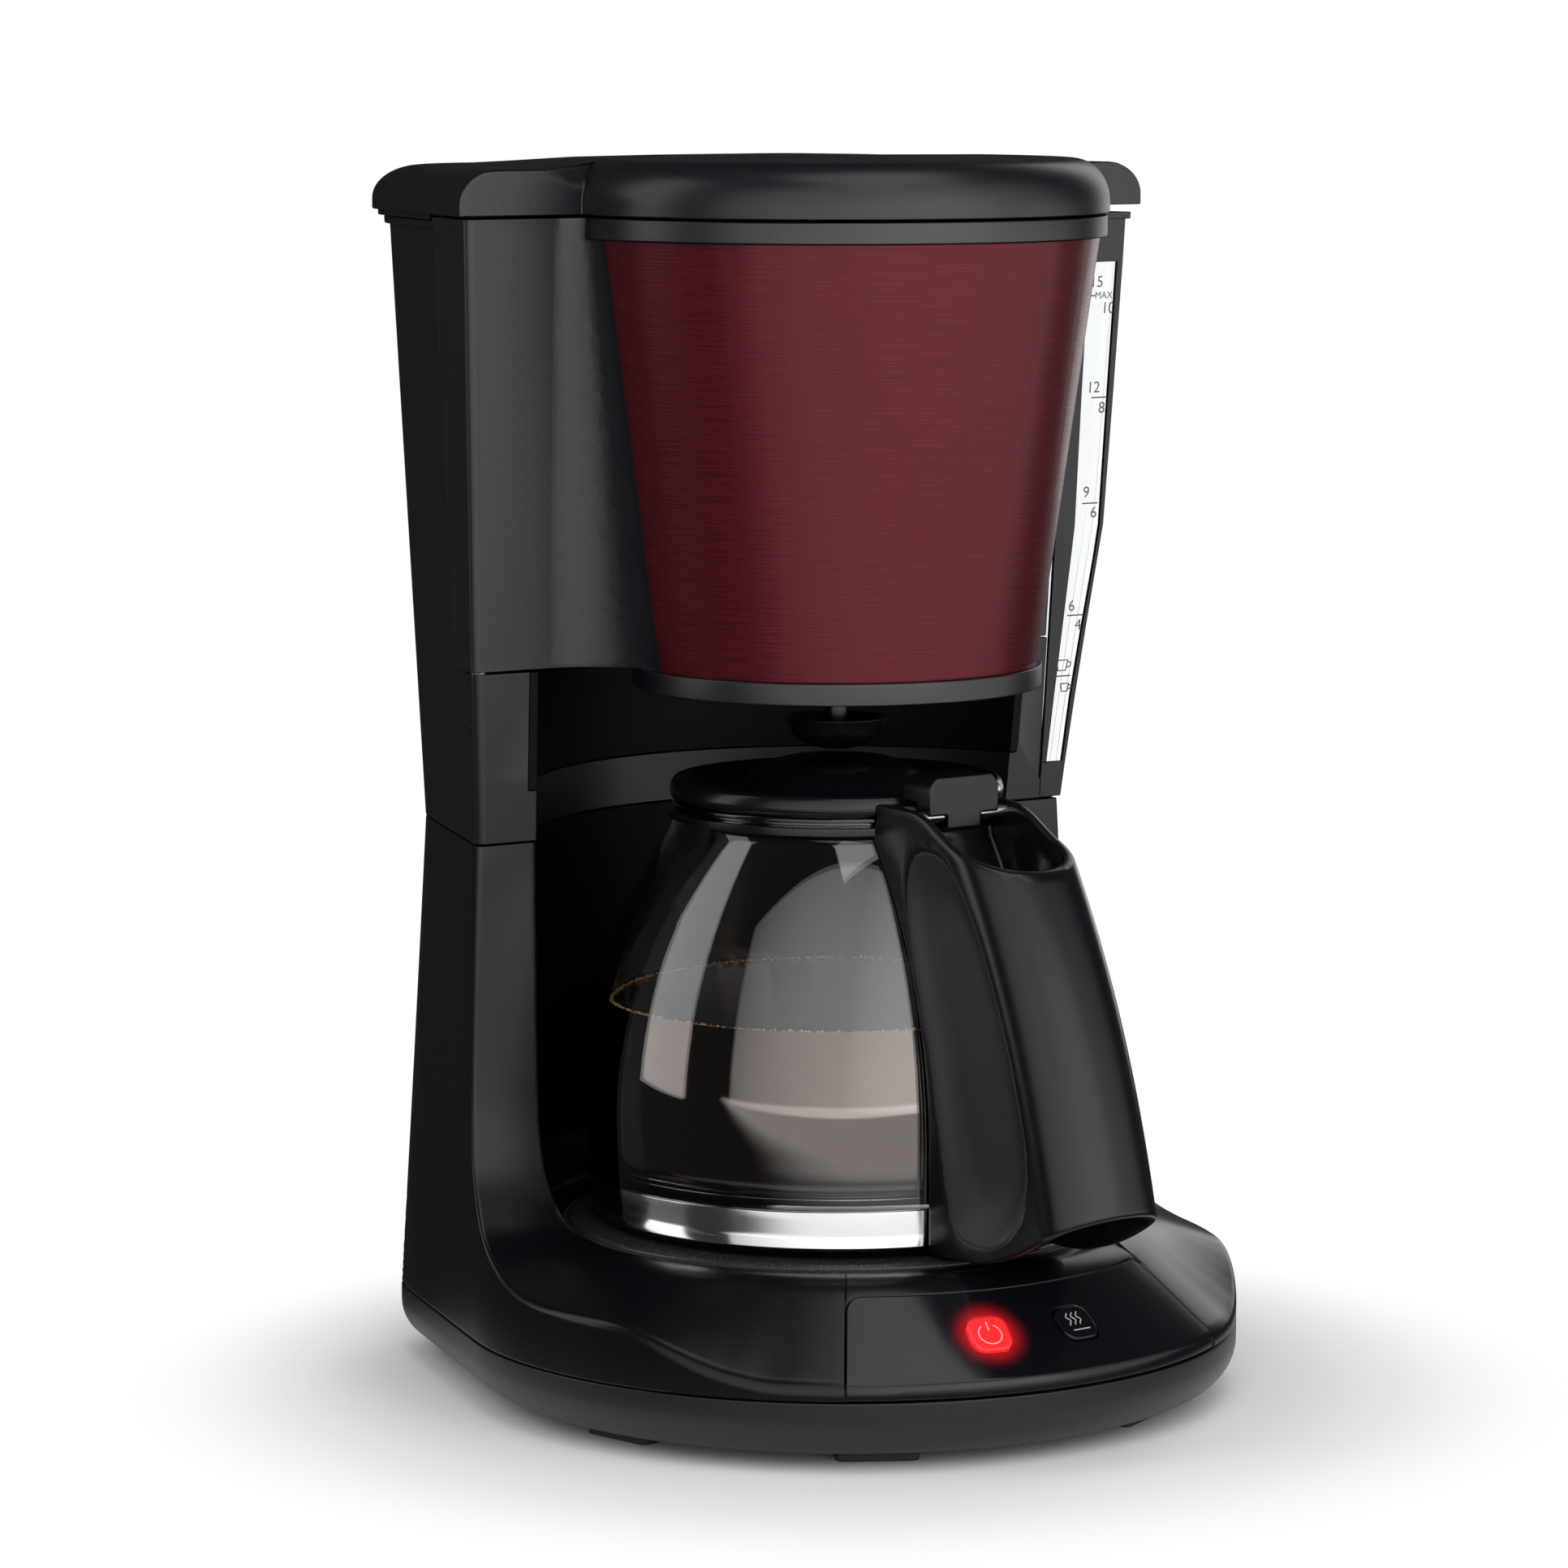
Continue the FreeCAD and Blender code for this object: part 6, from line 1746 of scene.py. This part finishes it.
@dataclass
class Pieces:
    """The pieces whose CAD shape is right: a softened copy, or the node itself where it is out of sight."""

    tower: TowerBend

    # by body: node, finish and width of the rounding along its edges
    SOFTENED = {
        Body.HOUSING: (
            ("base_pan", Finishes.SATIN, 0.4), ("rubber_feet", Finishes.RUBBER, 0.4),
            ("cord_gland", Finishes.RUBBER, 0.4), ("warming_plate", Finishes.PLATE, 0.4),
            ("plate_seal", Finishes.SEAL, 0.2), ("rear_housing", Finishes.SATIN, 0.35),
            # the niche panel takes the niche's black, painted shade that stands in for the shade falling
            # there
            ("niche_panel", Finishes.NICHE_PAINTED_SHADE, 0.3), ("holder_pivot", Finishes.STEEL, 0.3),
            ("water_tank", Finishes.TANK, 0.3), ("tank_screen", Finishes.BASKET, 0.2),
            ("shower_head", Finishes.BASKET, 0.5), ("lid_pins", Finishes.STEEL, 0.2),
            ("base_screws", Finishes.STEEL, 0.2), ("hot_riser", Finishes.SILICONE, 0.0)),
        Body.HOLDER: (
            # the filter holder takes the lit copy of the satin black, painted light on its front faces
            ("filter_holder", Finishes.SHOULDER_PAINTED_LIT, 0.4), ("red_panel", Finishes.RED, 0.12),
            ("filter_basket", Finishes.BASKET, 0.4), ("spring_cage", Finishes.BASKET, 0.3)),
        Body.DRIP_STOP: (("drip_bowl", Finishes.GLOSS, 0.3),),
        Body.JUG: (("cover_pin", Finishes.STEEL, 0.2), ("neck_band", Finishes.GLOSS, 0.2))}
    BENT = ("rear_housing", "water_tank")
    PAINTED = (
        (Finishes.STEEL, ("power_spring", "keep_warm_spring", "heater_tube", "element_bracket",
                          "thermal_fuses", "bracket_screw", "drip_spring", "handle_screw")),
        (Finishes.SILICONE, ("check_valve", "check_ball", "cold_hose", "drip_seal")),
        (Finishes.ALUMINIUM, ("boiler_tube", "thermostat")),
        (Finishes.BOARD, ("circuit_board",)),
        (Finishes.LIT, ("power_lamp",)))

    def build(self) -> None:
        """Dress every such piece."""
        for body, pieces in self.SOFTENED.items():
            for node, finish, bevel in pieces:
                piece = Maker.softened(node, body, finish, bevel)
                if node in self.BENT:
                    self.tower.bend(piece)
        for finish, hidden in self.PAINTED:
            for node in hidden:
                Maker.painted(node, finish)


@dataclass(frozen=True)
class Lamp:
    """One soft studio lamp, aimed at the machine."""

    name: str
    azimuth: float
    distance: float
    height: float
    width: float
    tall: float
    power: float
    faces: float
    spread: float = 180.0

    def build(self) -> None:
        """Hang the lamp so that it faces a height on the machine's axis."""
        light = bpy.data.lights.new(self.name, "AREA")
        light.shape = "RECTANGLE"
        light.size, light.size_y = self.width, self.tall
        light.energy = self.power
        light.spread = math.radians(self.spread)
        obj = bpy.data.objects.new(self.name, light)
        turn = math.radians(self.azimuth)
        obj.location = (math.sin(turn) * self.distance, -math.cos(turn) * self.distance, self.height)
        aim = Vector((0.0, 0.0, self.faces))
        obj.rotation_euler = (aim - obj.location).to_track_quat("-Z", "Y").to_euler()
        obj.visible_camera = False
        bpy.context.scene.collection.objects.link(obj)


@dataclass
class Studio:
    """Pale floor, soft lamps and the camera at the photograph's angle."""

    camera_at: tuple[float, float, float] = (-0.85889, -1.32317, 0.371)
    heading: tuple[float, float] = (0.5446, 0.8387)
    yaw: float = 0.639
    pitch: float = 7.362
    lens: float = 133.12
    sensor: float = 36.0
    floor_half: float = 8.0
    floor_grey: tuple[float, float] = (0.80, 0.82)
    floor_clouds: float = 6.0
    cloud_detail: float = 2.0
    floor_rough: float = 0.9
    floor_shine: float = 0.1
    lit_reach: float = 0.115
    white_reach: float = 0.205
    ambient: float = 0.5
    mirrored_share: float = 0.03
    front_share: float = 1.0
    front_start: float = 0.15
    front_full: float = 0.4

    LAMPS = (
        Lamp("front_left_softbox", -25.0, 1.9, 1.2, 6.1, 2.4, 38.0, 1.2, 138.0),
        Lamp("front_right_softbox", 27.0, 1.9, 1.2, 5.6, 2.4, 18.0, 1.2, 112.0),
        Lamp("left_softbox", -121.0, 1.9, 1.2, 0.95, 2.4, 9.5, 1.2),
        Lamp("right_softbox", 122.0, 1.9, 0.8, 0.7, 1.6, 4.5, 0.8),
        Lamp("top_softbox", 0.0, 0.75, 2.1, 1.5, 1.5, 10.0, 0.17))

    def build(self) -> None:
        """Set up the floor, the lamps, the surroundings and the camera."""
        bpy.context.scene.view_settings.view_transform = "Standard"
        for lamp in self.LAMPS:
            lamp.build()
        self.floor()
        self.surroundings()
        self.camera()

    @staticmethod
    def seen(nodes: Nodes, mirrored: object) -> bpy.types.NodeSocket:
        """How plainly a ray sees the white background.

        Args:
            nodes: The nodes to add to.
            mirrored: The share that a mirrored ray sees.

        Returns:
            1 for rays from the camera and straight through glass, the share for mirrored rays, else 0.
        """
        path = nodes.add("ShaderNodeLightPath").outputs
        bounced = nodes.maths("MINIMUM", path["Glossy Depth"], 1.0)
        through = path["Is Transmission Ray"]
        straight = nodes.maths("MULTIPLY", through, nodes.maths("SUBTRACT", 1.0, bounced))
        plain = nodes.maths("MAXIMUM", path["Is Camera Ray"], straight)
        turned = nodes.maths("MAXIMUM", path["Is Glossy Ray"], nodes.maths("MULTIPLY", through, bounced))
        return nodes.maths("MAXIMUM", plain, nodes.maths("MULTIPLY", turned, mirrored))

    def floor(self) -> None:
        """Lay a pale floor that keeps the shadow and fades to white."""
        mesh = bpy.data.meshes.new("floor")
        half = self.floor_half
        corners = [(-half, -half, 0.0), (half, -half, 0.0), (half, half, 0.0), (-half, half, 0.0)]
        mesh.from_pydata(corners, [], [(0, 1, 2, 3)])
        obj = bpy.data.objects.new("floor", mesh)
        bpy.context.scene.collection.objects.link(obj)
        made = bpy.data.materials.new("pale_floor")
        made.use_nodes = True
        nodes = Nodes(made.node_tree)
        shader = made.node_tree.nodes["Principled BSDF"]
        place = nodes.add("ShaderNodeTexCoord").outputs["Object"]
        cloud = nodes.noise(place, self.floor_clouds, self.cloud_detail)
        dark, pale = self.floor_grey
        span = {"Value": cloud, "To Min": dark, "To Max": pale}
        grey = nodes.add("ShaderNodeMapRange", span).outputs[0]
        made.node_tree.links.new(grey, shader.inputs["Base Color"])
        shader.inputs["Roughness"].default_value = self.floor_rough
        shader.inputs["Specular IOR Level"].default_value = self.floor_shine
        away = nodes.add("ShaderNodeVectorMath", {0: place}, operation="LENGTH").outputs["Value"]
        reach = {"Value": away, "From Min": self.lit_reach, "From Max": self.white_reach}
        far = nodes.add("ShaderNodeMapRange", reach, interpolation_type="SMOOTHSTEP").outputs[0]
        front = nodes.add("ShaderNodeVectorMath", {0: place, 1: (0.0, -1.0, 0.0)},
                          operation="DOT_PRODUCT").outputs["Value"]
        ahead = {"Value": front, "From Min": self.front_start, "From Max": self.front_full,
                 "To Min": self.mirrored_share, "To Max": self.front_share}
        mirrored = nodes.add("ShaderNodeMapRange", ahead, interpolation_type="SMOOTHSTEP").outputs[0]
        white = nodes.add("ShaderNodeEmission", {"Strength": self.seen(nodes, mirrored)})
        share = nodes.maths("MULTIPLY", far, self.seen(nodes, 1.0))
        blend = nodes.add("ShaderNodeMixShader", {0: share, 1: shader.outputs[0], 2: white.outputs[0]})
        output = made.node_tree.nodes["Material Output"]
        made.node_tree.links.new(blend.outputs[0], output.inputs["Surface"])
        mesh.materials.append(made)

    def surroundings(self) -> None:
        """Fill the room with pale light that the camera sees as white."""
        world = bpy.data.worlds.new("studio")
        world.use_nodes = True
        bpy.context.scene.world = world
        nodes = Nodes(world.node_tree)
        background = world.node_tree.nodes["Background"]
        background.inputs["Color"].default_value = (1.0, 1.0, 1.0, 1.0)
        path = nodes.add("ShaderNodeLightPath").outputs
        plain = nodes.maths("MULTIPLY", path["Is Diffuse Ray"], self.ambient)
        strength = nodes.maths("MAXIMUM", self.seen(nodes, self.mirrored_share), plain)
        world.node_tree.links.new(strength, background.inputs["Strength"])

    def camera(self) -> None:
        """Set the camera at the photograph's viewing angle."""
        data = bpy.data.cameras.new("camera")
        data.lens = self.lens
        data.sensor_width = self.sensor
        obj = bpy.data.objects.new("camera", data)
        level = Vector((*self.heading, 0.0)).normalized()
        level.rotate(Matrix.Rotation(math.radians(self.yaw), 3, "Z"))
        down = math.radians(self.pitch)
        look = level * math.cos(down) - Vector((0.0, 0.0, math.sin(down)))
        obj.location = self.camera_at
        obj.rotation_euler = look.to_track_quat("-Z", "Y").to_euler()
        bpy.context.scene.collection.objects.link(obj)
        bpy.context.scene.camera = obj


def main() -> None:
    """Build the studio and the machine, sub-assembly by sub-assembly."""
    logging.basicConfig(level=logging.INFO, format="%(message)s")
    Studio().build()
    jug, tower = Jug(), TowerBend()
    for part in (LowerShell(), Lid(), Controls(), jug, Handle(jug), LevelScale(tower), LevelFrame(tower),
                 Pieces(tower)):
        LOG.info("building %s", type(part).__name__)
        part.build()


if __name__ == "__main__":
    main()
